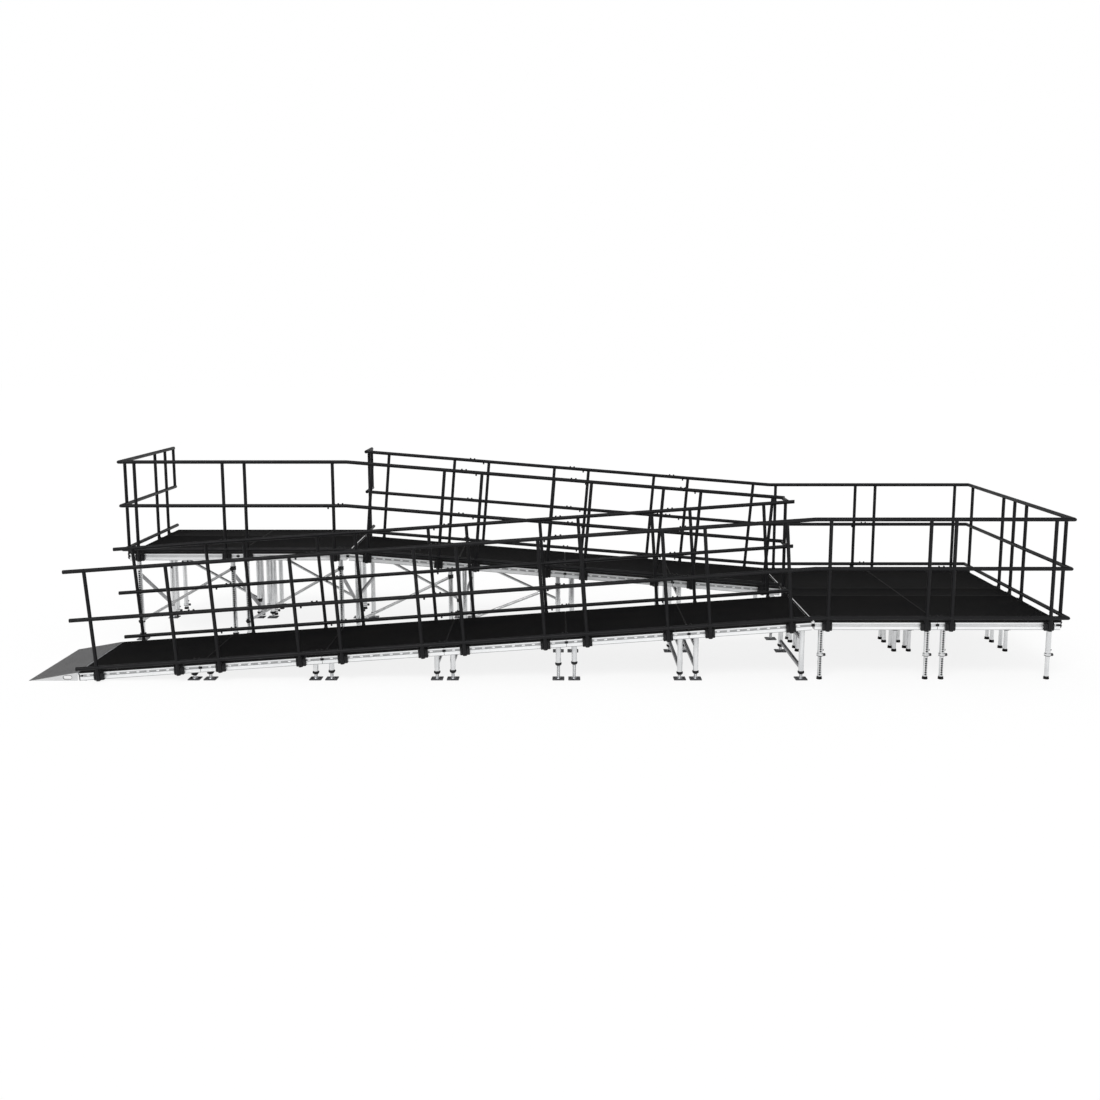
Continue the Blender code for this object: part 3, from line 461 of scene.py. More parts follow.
def chamfered(x0, x1, y0, y1, cut):
    """The outline of a rectangle with its corners cut off."""
    outline = [(x0 + cut, y0), (x1 - cut, y0), (x1, y0 + cut), (x1, y1 - cut)]
    return [*outline, (x1 - cut, y1), (x0 + cut, y1), (x0, y1 - cut), (x0, y0 + cut)]


def box(low, high, edge=EDGE):
    """A block with chamfered edges."""
    x0, y0, z0 = low
    x1, y1, z1 = high
    rings = []
    for z, inset in ((z0, edge), (z0 + edge, 0), (z1 - edge, 0), (z1, edge)):
        cut = edge * 0.4 if inset else edge
        ring = chamfered(x0 + inset, x1 - inset, y0 + inset, y1 - inset, cut)
        rings.append([(x, y, z) for x, y in ring])
    return loft(rings)


def prism(outline, start, end, place=None):
    """A solid with an outline in X and Z, drawn out along Y."""
    shape = loft([[(x, y, z) for x, z in outline] for y in (start, end)])
    return moved(shape, place) if place else shape


def stadium(x, z, length, height, facets=6):
    """A slot's outline in X and Z, round at both ends."""
    rise = height / 2
    reach = length / 2 - rise
    outline = []
    for side in (1, -1):
        for step in range(facets + 1):
            angle = math.pi * (step / facets - 0.5)
            outline.append((x + side * (reach + rise * math.cos(angle)), z + side * rise * math.sin(angle)))
    return outline


def add_face(points, faces, loops, y):
    """Adds a flat face in X and Z with holes in it, and gives the index of its first point."""
    flat = [[Vector((px, pz, 0)) for px, pz in loop] for loop in loops]
    start = len(points)
    points += [(v.x, y, v.y) for loop in flat for v in loop]
    faces += [tuple(start + i for i in face) for face in tessellate_polygon(flat)]
    return start


def holed(outline, holes, near, far):
    """A plate in X and Z with holes through it, from near to far along Y."""
    points = []
    faces = []
    loops = [outline, *holes]
    add_face(points, faces, loops, near)
    half = add_face(points, faces, loops, far)
    base = 0
    for loop in loops:
        faces += walls(base, half + base, len(loop))
        base += len(loop)
    return points, faces


def hexagon_bolt(start, direction, radius=0.008, height=0.006, washer=True):
    """A bolt head on its washer, standing on a face."""
    shapes = []
    lift = 0.0
    if washer:
        lift = 0.0015
        rim = radius * 1.35
        shapes.append(along_axis([(0, rim), (lift, rim)], start, direction, SMALL_SIDES))
    profile = [(lift, radius), (lift + height * 0.8, radius), (lift + height, radius * 0.82)]
    shapes.append(along_axis(profile, start, direction, 6))
    return shapes


def linked(name, data):
    """A new object in the scene."""
    item = bpy.data.objects.new(name, data)
    bpy.context.scene.collection.objects.link(item)
    return item


class Piece:
    """Gathers shapes with their materials into one object."""

    def __init__(self, name):
        self.name = name
        self.points = []
        self.faces = []
        self.picks = []
        self.materials = []

    def slot_of(self, material):
        """The material's place in this piece's list."""
        if material not in self.materials:
            self.materials.append(material)
        return self.materials.index(material)

    def add(self, material, *shapes, place=None):
        """Adds shapes of one material, carried to a place where one is given."""
        pick = self.slot_of(material)
        for shape in shapes:
            points, faces = moved(shape, place) if place else shape
            start = len(self.points)
            self.points += [tuple(p) for p in points]
            self.faces += [tuple(start + i for i in face) for face in faces]
            self.picks += [pick] * len(faces)

    def repaint(self, material, first, chosen):
        """Gives the chosen faces, counted from the first face of a shape, another material."""
        pick = self.slot_of(material)
        for index in chosen:
            self.picks[first + index] = pick

    def make(self, body, slot, *nodes):
        """The finished object, riding on its body and standing for its CAD nodes."""
        mesh = bpy.data.meshes.new(self.name)
        mesh.from_pydata(self.points, [], self.faces)
        for material in self.materials:
            mesh.materials.append(material)
        mesh.polygons.foreach_set("material_index", self.picks)
        tidy_normals(mesh)
        mesh.shade_smooth()
        mesh.set_sharp_from_angle(angle=SMOOTH_ANGLE)
        item = linked(self.name, mesh)
        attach(item, body)
        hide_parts(*nodes)


def tidy_normals(mesh):
    """Turns every face of each closed shape outward."""
    work = bmesh.new()
    work.from_mesh(mesh)
    bmesh.ops.recalc_face_normals(work, faces=work.faces)
    work.to_mesh(mesh)
    work.free()


# Modules


def deck_place(name):
    """A module's own frame, from its panel: X along the run, Z square to the deck, and its depth."""
    corners = [v.co.copy() for v in frame["nodes"][name].data.vertices]
    front = min(p.y for p in corners)
    depth = round(max(p.y for p in corners) - front + 2 * FIT_GAP, 4)
    middle = sum(p.x for p in corners) / len(corners)
    edge = [p for p in corners if p.y < front + 0.0001]
    left = max((p for p in edge if p.x < middle), key=lambda p: p.z)
    right = max((p for p in edge if p.x > middle), key=lambda p: p.z)
    along = (right - left).normalized()
    corner = left - along * FIT_GAP - BACK * FIT_GAP
    up = along.cross(BACK)
    return Matrix.Translation(corner) @ Matrix((along, BACK, up)).transposed().to_4x4(), depth


def outline_at(inset, depth, z):
    """The corners of a module's outline at a height, moved inward."""
    x1 = DECK_SIDE - inset
    y1 = depth - inset
    return [(inset, inset, z), (x1, inset, z), (x1, y1, z), (inset, y1, z)]


def rim(piece, place, depth, slotted):
    """The extruded rim with broken edges and a groove outside, slotted front and rear on the runs. The groove's
    walls, the strips along its floor and the rim's lower lip are painted darker, as painted shade.
    """
    top = FRAME_TOP
    low = FRAME_BOTTOM
    profile = [(EDGE, low), (0, low + EDGE), (0, low + PAINTED_SHADE_LIP), (0, GROOVE_LOW - EDGE), (EDGE, GROOVE_LOW)]
    first_row = len(profile)
    profile += [(GROOVE_DEPTH, z) for z in GROOVE_FLOOR]
    profile += [(EDGE, GROOVE_TOP), (0, GROOVE_TOP + EDGE), (0, top - EDGE), (EDGE, top), (FLANGE, top)]
    profile += [(FLANGE, top - WALL), (WEB_INSIDE, top - WALL), (WEB_INSIDE, low + WALL)]
    profile += [(FLANGE * 0.7, low + WALL), (FLANGE * 0.7, low)]
    points = [point for inset, z in profile for point in outline_at(inset, depth, z)]
    # Painted shade: the lower lip, the groove's walls and its floor strips take the darker groove metal, and on
    # slotted modules the groove's whole floor does
    floor_rows = range(first_row, first_row + 3)
    shaded_rows = {0, 1, *range(first_row - 1, first_row + 4)}
    if not slotted:
        shaded_rows.remove(first_row + 1)
    faces = []
    shaded = []
    for row in range(len(profile)):
        for side, face in enumerate(walls(row * 4, (row + 1) % len(profile) * 4, 4)):
            if slotted and side in (0, 2) and row in floor_rows:
                continue
            if row in shaded_rows:
                shaded.append(len(faces))
            faces.append(face)
    if slotted:
        first = DECK_SIDE / 2 - (SLOTS - 1) * SLOT_PITCH / 2 - SLOT_SHIFT
        middles = [first + i * SLOT_PITCH for i in range(SLOTS)]
        slots = [stadium(x, GROOVE_MIDDLE, SLOT_LENGTH, SLOT_HEIGHT) for x in middles]
        for y, y_slot in ((GROOVE_DEPTH, SLOT_FLOOR), (depth - GROOVE_DEPTH, depth - SLOT_FLOOR)):
            start = len(faces)
            add_web(points, faces, slots, y, y_slot)
            for index in range(start, len(faces)):
                if all(abs(points[i][1] - y) < SAME_PLACE for i in faces[index]):
                    shaded.append(index)
    start = len(piece.faces)
    piece.add(RIM, welded(points, faces), place=place)
    piece.repaint(PAINTED_GROOVE_SHADE, start, shaded)


def welded(points, faces):
    """Joins the points that lie on one another, so that a shape closes."""
    places = {}
    kept = []
    index = []
    for point in points:
        key = tuple(round(c, 6) for c in point)
        if key not in places:
            places[key] = len(kept)
            kept.append(point)
        index.append(places[key])
    return kept, [tuple(index[i] for i in face) for face in faces]


def add_web(points, faces, slots, y, y_slot):
    """The groove's floor on one side, with slots that show the bright wall inside the profile."""
    outline = [(DECK_SIDE - GROOVE_DEPTH, z) for z in GROOVE_FLOOR]
    outline += [(GROOVE_DEPTH, z) for z in reversed(GROOVE_FLOOR)]
    edge = add_face(points, faces, [outline, *slots], y) + len(outline)
    for slot in slots:
        inner = len(points)
        points += [(x, y_slot, z) for x, z in slot]
        faces += walls(edge, inner, len(slot))
        faces.append(tuple(range(inner, inner + len(slot))))
        edge += len(slot)


def corner_socket(piece, place, depth, x, y):
    """The cast corner that a leg plugs into, with its lock screw on the inner face."""
    half = SOCKET_SIDE / 2
    low = WEB_INSIDE - SEAT
    at_left = x < DECK_SIDE / 2
    x0, x1 = (low, x + half) if at_left else (x - half, DECK_SIDE - low)
    y0, y1 = (low, y + half) if y < depth / 2 else (y - half, depth - low)
    block = box((x0, y0, FRAME_BOTTOM + UNDERSIDE_STEP), (x1, y1, GROOVE_TOP), 0.004)
    piece.add(STEEL, block, place=place)
    face = Vector((x1 if at_left else x0, y, (FRAME_BOTTOM + FRAME_TOP) / 2))
    piece.add(STEEL, *hexagon_bolt(face, RIGHT if at_left else -RIGHT, 0.009, 0.008), place=place)


def foot_plate(piece, place):
    """A square foot plate with four screw holes and a welded boss."""
    half = PLATE_SIDE / 2
    reach = half * 0.72
    holes = []
    for x in (-reach, reach):
        for z in (-reach, reach):
            holes.append([(x + px, z + pz) for px, pz, _ in circle(PLATE_HOLE, 10)])
    plate = holed(chamfered(-half, half, -half, half, 0.006), holes, 0, PLATE_THICKNESS)
    piece.add(PLATE, moved(plate, Matrix.Rotation(math.pi / 2, 4, "X")), place=place)
    top = PLATE_THICKNESS
    boss = [(top - SEAT, 0.026), (top + 0.003, 0.025), (top + 0.010, SPINDLE_RADIUS + 0.001)]
    piece.add(STEEL, turned(boss), place=place)


def spindle(start, end):
    """A threaded rod from start to end, up the leg's axis."""
    root = SPINDLE_RADIUS - THREAD_DEPTH
    profile = [(start, root)]
    height = start + THREAD_PITCH / 2
    while height < end - THREAD_PITCH:
        profile += [(height, SPINDLE_RADIUS), (height + THREAD_PITCH * 0.25, SPINDLE_RADIUS)]
        profile.append((height + THREAD_PITCH * 0.5, root))
        height += THREAD_PITCH * 0.75
    return turned([*profile, (end, root)], BAR_SIDES)


def jack_low(under):
    """Height of a jack nut's underside: below the longest stock tube that fits, or else below the rim."""
    room = under - NUT_HEIGHT - LEAST_JACK
    return under - NUT_HEIGHT - max((tube for tube in STOCK_TUBES if tube <= room), default=0.0)


def jack_nut(low):
    """The black cast adjusting nut: a cup under the tube, with four lugs to turn it by."""
    cup = [(low + height, radius) for height, radius in NUT_CUP]
    shapes = [turned([*cup, (low + NUT_BODY, LEG_RADIUS + SEAT)])]
    lug = box((0.024, -0.0065, low + 0.009), (0.037, 0.0065, low + 0.023), 0.002)
    for turn in range(4):
        shapes.append(moved(lug, Matrix.Rotation((turn + 0.5) * math.pi / 2, 4, "Z")))
    return shapes


def jack_leg(piece, foot, top, under, is_loose):
    """Tube, nut and, unless it is loose, spindle and plate. Gives the height of the nut's underside."""
    low = jack_low(under)
    place = Matrix.Translation(foot)
    piece.add(TUBE, turned([(low + NUT_BODY - 0.002, LEG_RADIUS), (top, LEG_RADIUS)]), place=place)
    piece.add(CAST, *jack_nut(low), place=place)
    if not is_loose:
        piece.add(TUBE, spindle(PLATE_THICKNESS, low + 0.002), place=place)
        foot_plate(piece, place)
    return low


def knob_lobes():
    """A hand knob with lobes on its stem, along Z from the inner leg's wall."""
    head = COLLAR_RADIUS - 0.004
    profile = [(INNER_RADIUS * 0.9, 0.005), (head + 0.001, 0.005), (head + 0.001, KNOB_WAIST)]
    profile += [(head + 0.005, 0.014), (head + 0.008, KNOB_RADIUS)]
    profile += [(head + KNOB_LENGTH - 0.004, KNOB_RADIUS), (head + KNOB_LENGTH, KNOB_WAIST)]
    rings = []
    for z, radius in profile:
        depth = LOBE_DEPTH if radius > KNOB_WAIST else 0.0
        ring = []
        for i in range(KNOB_FACETS):
            angle = 2 * math.pi * i / KNOB_FACETS
            r = radius - depth * (0.5 - 0.5 * math.cos(KNOB_LOBES * angle))
            ring.append((r * math.cos(angle), r * math.sin(angle), z))
        rings.append(ring)
    return loft(rings)


def add_collar(piece, place, low, top):
    """The split clamp collar on its black seal, the lug for the knob, and the stop bolt above."""
    ring = [(low + 0.007, COLLAR_RADIUS - 0.001), (low + 0.008, COLLAR_RADIUS)]
    ring += [(top - 0.006, COLLAR_RADIUS), (top, LEG_RADIUS + 0.0015)]
    piece.add(TUBE, turned(ring), place=place)
    seal = turned([(low, COLLAR_RADIUS - 0.006), (low + 0.002, COLLAR_RADIUS), (low + 0.0075, COLLAR_RADIUS)])
    lug = [(0.024, 0.010), (COLLAR_RADIUS + 0.001, 0.010), (COLLAR_RADIUS + 0.003, 0.008)]
    stop = hexagon_bolt(LEVEL * (top + 0.030) + RIGHT * (LEG_RADIUS - 0.0005), RIGHT, 0.007, 0.008)
    lug = along_axis(lug, LEVEL * (top - KNOB_LEVEL), RIGHT, BAR_SIDES)
    piece.add(NYLON, seal, lug, *stop, place=place)


def peg_holes(low, top, radius):
    """A row of plugged peg holes up the front of a tube."""
    shapes = []
    height = low
    while height < top:
        start = LEVEL * height - BACK * (radius - 0.004)
        shapes.append(along_axis([(0, HOLE_RADIUS), (0.0046, HOLE_RADIUS * 0.9)], start, -BACK, SMALL_SIDES))
        height += HOLE_PITCH
    return shapes


def inner_leg(top):
    """The slim tube inside a telescopic leg, from within its cap."""
    return turned([(CAP_HEIGHT * 0.5, INNER_RADIUS), (top, INNER_RADIUS)])


def rubber_cap():
    """A rubber foot with two ribs."""
    profile = [(0, CAP_RADIUS - 0.002), (0.002, CAP_RADIUS), (0.007, CAP_RADIUS), (0.009, CAP_RADIUS - 0.002)]
    profile += [(0.011, CAP_RADIUS - 0.002), (0.013, CAP_RADIUS - 0.001), (0.018, CAP_RADIUS - 0.0015)]
    profile += [(CAP_HEIGHT - 0.002, INNER_RADIUS + 0.003), (CAP_HEIGHT, INNER_RADIUS + 0.002)]
    return turned(profile)


def knob_place(foot, top):
    """Where a knob stands: Z along its screw, which points to the right."""
    return axis_frame(foot + LEVEL * (top - KNOB_LEVEL), RIGHT, BACK)


def telescopic_leg(piece, foot, socket, top, is_loose, pegged):
    """The outer tube, its collar whose top is at top, and unless it is loose the inner leg and knob."""
    low = top - COLLAR_HEIGHT
    place = Matrix.Translation(foot)
    piece.add(TUBE, turned([(low + 0.004, LEG_RADIUS), (socket, LEG_RADIUS)]), place=place)
    add_collar(piece, place, low, top)
    if pegged:
        piece.add(CAST, *peg_holes(top + 0.020, socket - 0.060, LEG_RADIUS), place=place)
    if not is_loose:
        piece.add(TUBE, inner_leg(low + 0.01), place=place)
        if pegged:
            piece.add(CAST, *peg_holes(CAP_HEIGHT + 0.020, low - 0.012, INNER_RADIUS), place=place)
        piece.add(RUBBER, rubber_cap(), place=place)
        piece.add(NYLON, knob_lobes(), place=knob_place(foot, top))
    return low


def bridging_strip(piece, place, side):
    """The light strip that carries the walking surface over a change of slope, with its screws."""
    ledge = -PANEL - 0.004
    low = ledge - 0.004
    outline = [(-STRIP_BITE, low), (STRIP_WIDTH, low), (STRIP_WIDTH, -EDGE), (STRIP_WIDTH - EDGE, 0)]
    outline += [(0.001 + EDGE, 0), (0.001, -EDGE), (0.001, ledge), (-STRIP_BITE, ledge)]
    start = DECK_SIDE if side > 0 else 0
    middle = start + side * STRIP_WIDTH / 2
    outline = [(start + side * x, z) for x, z in outline]
    piece.add(RIM, prism(outline, 0, DECK_SIDE), place=place)
    lock_pair(piece, place, middle, DECK_SIDE)
    reach = (STRIP_WIDTH - NOSING - 0.002) / 2
    tape = middle - side * NOSING / 2
    cover = box((tape - reach, SEAT, -SEAT), (tape + reach, DECK_SIDE - SEAT, 0.0006), THIN_EDGE)
    piece.add(DECKING, cover, place=place)
    for step in range(STRIP_SCREWS):
        head = Vector((tape, DECK_SIDE * (step + 0.5) / STRIP_SCREWS, THIN_EDGE))
        piece.add(CAST, along_axis([(0, 0.005), (0.001, 0.004)], head, LEVEL, SMALL_SIDES), place=place)


def cross_ties(piece, feet, ends, steep):
    """Square tubes welded from front leg to rear leg at the given ends: one steep, or level ones."""
    for x in ends:
        if (x, LEG_SIDE_INSET) not in feet:
            continue
        front, low, under = feet[(x, LEG_SIDE_INSET)]
        rear = feet[(x, DECK_SIDE - LEG_SIDE_INSET)][0]
        heights = [(under - STEEP_DROP, STEEP_LOW)] if steep else level_ties(low, under)
        for at_front, at_rear in heights:
            start = front + LEVEL * at_front
            end = rear + LEVEL * at_rear
            half = TIE_SIDE / 2
            tube = box((-half, -half, 0), (half, half, (end - start).length), 0.003)
            # The ties take the darker steel, painted shade on these front-to-rear tubes
            piece.add(TIE_PAINTED_SHADE, tube, place=axis_frame(start, end - start, RIGHT))


def level_ties(low, under):
    """Heights of the level ties: one below the rim, and on the longer low legs one above the nuts."""
    lower = max(TIE_LEAST, low + NUT_HEIGHT + TIE_ABOVE_NUT + TIE_SIDE / 2)
    upper = min(under - TIE_DROP, TIE_HIGHEST)
    heights = []
    if upper >= lower:
        heights.append((upper, upper))
    if upper < TIE_HIGHEST and upper - lower > TIE_ROOM:
        heights.append((lower, lower))
    return heights


def coupler(centre, axis, radius):
    """A clamp ring round a tube."""
    half = COUPLER_WIDTH / 2
    outer = radius + 0.005
    profile = [(-half, outer - 0.002), (-half + 0.002, outer), (half - 0.002, outer), (half, outer - 0.002)]
    return along_axis(profile, centre, axis)


def long_braces(piece, feet):
    """Tubes between the legs along the ramp, one way in front and the other behind, on swivel clamps."""
    left = min(x for x, y in feet)
    right = max(x for x, y in feet)
    rows = sorted({y for x, y in feet})
    for y, low_x, high_x, outward in ((rows[0], left, right, -BACK), (rows[-1], right, left, BACK)):
        shift = outward * (LEG_RADIUS + BRACE_RADIUS)
        low_foot = feet[(low_x, y)][0]
        high_foot, _, under = feet[(high_x, y)]
        start = low_foot + LEVEL * BRACE_LOW + shift
        end = high_foot + LEVEL * (under - BRACE_DROP) + shift
        reach = (end - start).normalized()
        piece.add(BRACE, rod(start - reach * BRACE_OVERHANG, end + reach * BRACE_OVERHANG, BRACE_RADIUS))
        for spot in (start, end):
            piece.add(CAST, coupler(spot - shift, LEVEL, LEG_RADIUS), coupler(spot, reach, BRACE_RADIUS))
            side = spot + outward * (BRACE_RADIUS + 0.004)
            piece.add(CAST, *hexagon_bolt(side, outward, 0.009, 0.008))


def lock_pair(piece, place, x, depth):
    """The black locks that hold two neighbouring channels together, front and rear in their grooves."""
    half = GROOVE_HEIGHT * 0.6
    plate = box((-0.017, -half, -0.002), (0.017, half, 0.005), 0.002)
    for y, outward in ((LOCK_DEPTH, -BACK), (depth - LOCK_DEPTH, BACK)):
        centre = Vector((x, y, GROOVE_MIDDLE))
        piece.add(CAST, plate, place=place @ axis_frame(centre, outward, RIGHT))
        for offset in (-0.0085, 0.0085):
            face = centre + RIGHT * offset + outward * 0.005
            piece.add(CAST, *hexagon_bolt(face, outward, 0.0055, 0.005), place=place)


def corner_plug(piece, place, x, y, outward):
    """A black plug in the groove beside an outer corner."""
    half = GROOVE_HEIGHT * 0.45
    plug = box((-0.016, -half, -GROOVE_DEPTH), (0.016, half, 0.003), 0.002)
    spin = axis_frame(Vector((x, y, GROOVE_MIDDLE)), outward, LEVEL.cross(outward))
    piece.add(CAST, plug, place=place @ spin)


def module(
    name, kind, ends=BOTH_ENDS, slotted=False, strip=0, braced=False, loose=(), locks="", pegged=(),
    collar=COLLAR_TOP, tied=BOTH_ENDS, steep=False,
):
    """A module's frame on its jacks or telescopic legs. ends are the places with legs along X, and
    loose and pegged are legs as (x, y). locks names the ends that meet a neighbour: l or r."""
    place, depth = deck_place(name)
    piece = Piece(name.replace("deck", "frame") + "_dressed")
    rim(piece, place, depth, slotted)
    if abs(depth - DECK_SIDE) < 0.01:
        low = WEB_INSIDE - SEAT
        middle = DECK_SIDE / 2
        top = FRAME_TOP - 0.0005
        member = box((middle - CROSS_HALF, low, top - CROSS_HEIGHT), (middle + CROSS_HALF, depth - low, top))
        piece.add(RIM, member, place=place)
    feet = {}
    for x in ends:
        for y in (LEG_SIDE_INSET, depth - LEG_SIDE_INSET):
            corner_socket(piece, place, depth, x, y)
            spot = place @ Vector((x, y, (FRAME_TOP + FRAME_BOTTOM) / 2))
            under = (place @ Vector((x, y, FRAME_BOTTOM))).z
            foot = Vector((spot.x, spot.y, 0))
            is_loose = (x, y) in loose
            is_pegged = (x, y) in pegged
            if kind == "telescopic":
                low = telescopic_leg(piece, foot, spot.z, collar, is_loose, is_pegged)
            else:
                low = jack_leg(piece, foot, spot.z, under, is_loose)
                if is_pegged:
                    holes = peg_holes(low + 0.100, under - 0.120, LEG_RADIUS)
                    piece.add(CAST, *holes, place=Matrix.Translation(foot))
            feet[(x, y)] = (foot, low, under)
    if kind == "jack":
        cross_ties(piece, feet, tied, steep)
    if braced:
        long_braces(piece, feet)
    if strip:
        bridging_strip(piece, place, strip)
    for end in locks:
        x = -MODULE_GAP / 2 if end == "l" else DECK_SIDE + MODULE_GAP / 2
        half = MODULE_GAP / 2 - FIT_GAP
        low = FRAME_BOTTOM + UNDERSIDE_STEP
        seal = box((x - half, SEAT, low), (x + half, depth - SEAT, -PANEL / 2), THIN_EDGE)
        piece.add(RUBBER, seal, place=place)
        lock_pair(piece, place, x, depth)
    return piece, feet, place


def finish_frame(piece):
    """Makes the frame's piece, and the panel on it: a grip face in a thin black edge trim."""
    node = piece.name.replace("_dressed", "")
    piece.make("ramp", "aluminium", node)
    name = node.replace("frame", "deck")
    place, depth = deck_place(name)
    steps = ((-PANEL, FIT_GAP), (-EDGE, FIT_GAP), (0, FIT_GAP + EDGE), (0, TRIM), (-TRIM_STEP, TRIM + SEAT))
    panel = Piece(name + "_dressed")
    panel.add(RUBBER, loft([outline_at(inset, depth, z) for z, inset in steps]), place=place)
    panel.repaint(DECKING, 0, [len(panel.faces) - 1])
    panel.make("ramp", "black_panel", name)


def hinge_axis():
    """The front end of the hinge line, beside the first deck's low end."""
    corner = deck_place("lower_deck_1")[0].translation
    return Vector((corner.x - HINGE_RADIUS - HINGE_SPACE, corner.y, corner.z - HINGE_RADIUS))


def add_knuckles(piece, first, web):
    """Every other knuckle of the hinge with its web: the deck's from 0, and the wedge's from 1."""
    axis = hinge_axis()
    pitch = DECK_SIDE / HINGE_KNUCKLES
    for i in range(first, HINGE_KNUCKLES, 2):
        start, end = i * pitch + FIT_GAP, (i + 1) * pitch - FIT_GAP
        knuckle = rod(axis + BACK * start, axis + BACK * end, HINGE_RADIUS, BAR_SIDES, THIN_EDGE)
        piece.add(STEEL, knuckle, prism(web, start + FIT_GAP, end - FIT_GAP, Matrix.Translation(axis)))


def deck_hinge(piece):
    """The first frame's knuckles and leaves, its end caps and bolts, and the glides that it rests on."""
    axis = hinge_axis()
    face = HINGE_RADIUS + HINGE_SPACE
    leaf_top = -PANEL - FIT_GAP - HINGE_CLEAR + HINGE_RADIUS
    leaf_low = leaf_top - GROOVE_DROP + 2 * HINGE_CLEAR
    near = HINGE_CLEAR
    far = near + WALL
    leaf = [(near, 0), (near, leaf_low), (face + GROOVE_DEPTH, leaf_low)]
    leaf += [(face + GROOVE_DEPTH, leaf_top), (far, leaf_top), (far, 0)]
    add_knuckles(piece, 0, leaf)
    place, _ = deck_place("lower_deck_1")
    for y, outward in ((0, -BACK), (DECK_SIDE, BACK)):
        low, high = sorted((y + outward.y * 0.0015, y - outward.y * 0.004))
        corners = (near, low, FRAME_BOTTOM + UNDERSIDE_STEP), (END_CAP, high, FRAME_TOP - UNDERSIDE_STEP)
        piece.add(NYLON, box(*corners, HINGE_CLEAR), place=place)
        spot = Vector((END_BOLT, y - outward.y * GROOVE_DEPTH, GROOVE_MIDDLE))
        piece.add(CAST, *hexagon_bolt(spot, outward, 0.007, 0.006), place=place)
    left = axis.x + face + FLANGE / 2
    for y in (axis.y + WEB_INSIDE - SEAT, axis.y + DECK_SIDE - WEB_INSIDE + SEAT - GLIDE_SIDE):
        piece.add(RUBBER, box((left, y, 0), (left + GLIDE_SIDE, y + GLIDE_SIDE, GLIDE_HEIGHT), 0.002))


def entry_wedge():
    """The hinged flap: gritted plate with tread bars, light cheeks with hand slots, ribs and hinge."""
    axis = hinge_axis()
    place = Matrix.Translation(axis)
    floor = -axis.z
    top = HINGE_RADIUS
    tip = -WEDGE_LENGTH
    back = -HINGE_RADIUS - HINGE_CLEAR
    fall = (top - floor - WEDGE_LIP) / (back - tip)
    toe = tip + (WEDGE_PLATE - WEDGE_LIP) / fall
    piece = Piece("entry_wedge_dressed")
    plate = [(tip, floor), (toe, floor), (back, top - WEDGE_PLATE), (back, top), (tip, floor + WEDGE_LIP)]
    piece.add(TREAD, prism(plate, 0, DECK_SIDE, place))
    lip = Vector((tip, 0, floor + WEDGE_LIP))
    slope = Matrix.Translation(axis + lip) @ Matrix.Rotation(-math.atan(fall), 4, "Y")
    run = (Vector((back, 0, top)) - lip).length
    for step in range(1, TREAD_BARS):
        x = run * step / TREAD_BARS
        bar = box((x - 0.003, BAR_INSET, -SEAT), (x + 0.003, DECK_SIDE - BAR_INSET, 0.0012), 0.0008)
        piece.add(TREAD, bar, place=slope)
    rib_tip = tip + WEDGE_RIB_SET
    rib_top = floor + WEDGE_LIP + fall * WEDGE_RIB_SET - WEDGE_PLATE * 0.5
    rib = [(rib_tip, floor), (back - 0.001, floor), (back - 0.001, top - WEDGE_PLATE * 0.5)]
    rib.append((rib_tip, rib_top))
    grip, liner = (
        stadium(-WEDGE_GRIP_SET, floor * GRIP_LEVEL, WEDGE_GRIP_LENGTH + more, WEDGE_GRIP_HEIGHT + more, 10)
        for more in (0, 2 * GRIP_LINER)
    )
    pitch = (DECK_SIDE - WEDGE_RIB - 2 * SEAT) / (WEDGE_RIBS - 1)
    for index in range(WEDGE_RIBS):
        y = SEAT + index * pitch
        holes = [grip] if index in (0, WEDGE_RIBS - 1) else []
        piece.add(CHEEK, holed(rib, holes, y, y + WEDGE_RIB), place=place)
        if holes:
            piece.add(NYLON, holed(liner, holes, y - 0.0004, y + WEDGE_RIB + 0.0004), place=place)
    web_end = back - WEDGE_PLATE
    add_knuckles(piece, 1, [(web_end, 0), (0, 0), (0, top - 0.0005), (web_end, top - 0.002)])
    piece.add(STEEL, rod(axis + BACK * FIT_GAP, axis + BACK * DECK_SIDE, HINGE_PIN, SMALL_SIDES, 0.0005))
    piece.make("entry_flap", "grey_tread", "entry_wedge")


def loose_jack(number, foot, low):
    """A spindle and its plate, riding on their own joint."""
    name = f"lower_jack_{number}"
    place = Matrix.Translation(foot)
    piece = Piece(name + "_dressed")
    piece.add(TUBE, spindle(PLATE_THICKNESS, low + JACK_REACH), place=place)
    foot_plate(piece, place)
    piece.make(name, "aluminium", name)


def loose_leg(number, foot, low):
    """A loose inner leg and its knob, each riding on its own joint. The first leg has peg holes."""
    name = f"landing_leg_{number}"
    place = Matrix.Translation(foot)
    piece = Piece(name + "_dressed")
    piece.add(TUBE, inner_leg(low + INNER_REACH), place=place)
    if number == 1:
        piece.add(CAST, *peg_holes(CAP_HEIGHT + 0.020, low + INNER_REACH - 0.030, INNER_RADIUS), place=place)
    piece.add(RUBBER, rubber_cap(), place=place)
    piece.make(name, "aluminium", name)
    name = f"landing_leg_knob_{number}"
    knob = Piece(name + "_dressed")
    knob.add(NYLON, knob_lobes(), place=knob_place(foot, COLLAR_TOP))
    knob.make(name, "black_knob", name)


def lower_run():
    """Six sloping modules: the first has the hinge and only its upper legs, and the last a strip."""
    spot = (FAR_END, LEG_SIDE_INSET)
    for number in range(1, 7):
        is_loose = 1 < number < 6
        ends = (FAR_END,) if number == 1 else BOTH_ENDS
        options = {"loose": [spot] if is_loose else (), "locks": "r" if number < 6 else ""}
        piece, feet, _ = module(f"lower_deck_{number}", "jack", ends, True, int(number == 6), **options)
        if number == 1:
            deck_hinge(piece)
        finish_frame(piece)
        if is_loose:
            loose_jack(number, *feet[spot][:2])


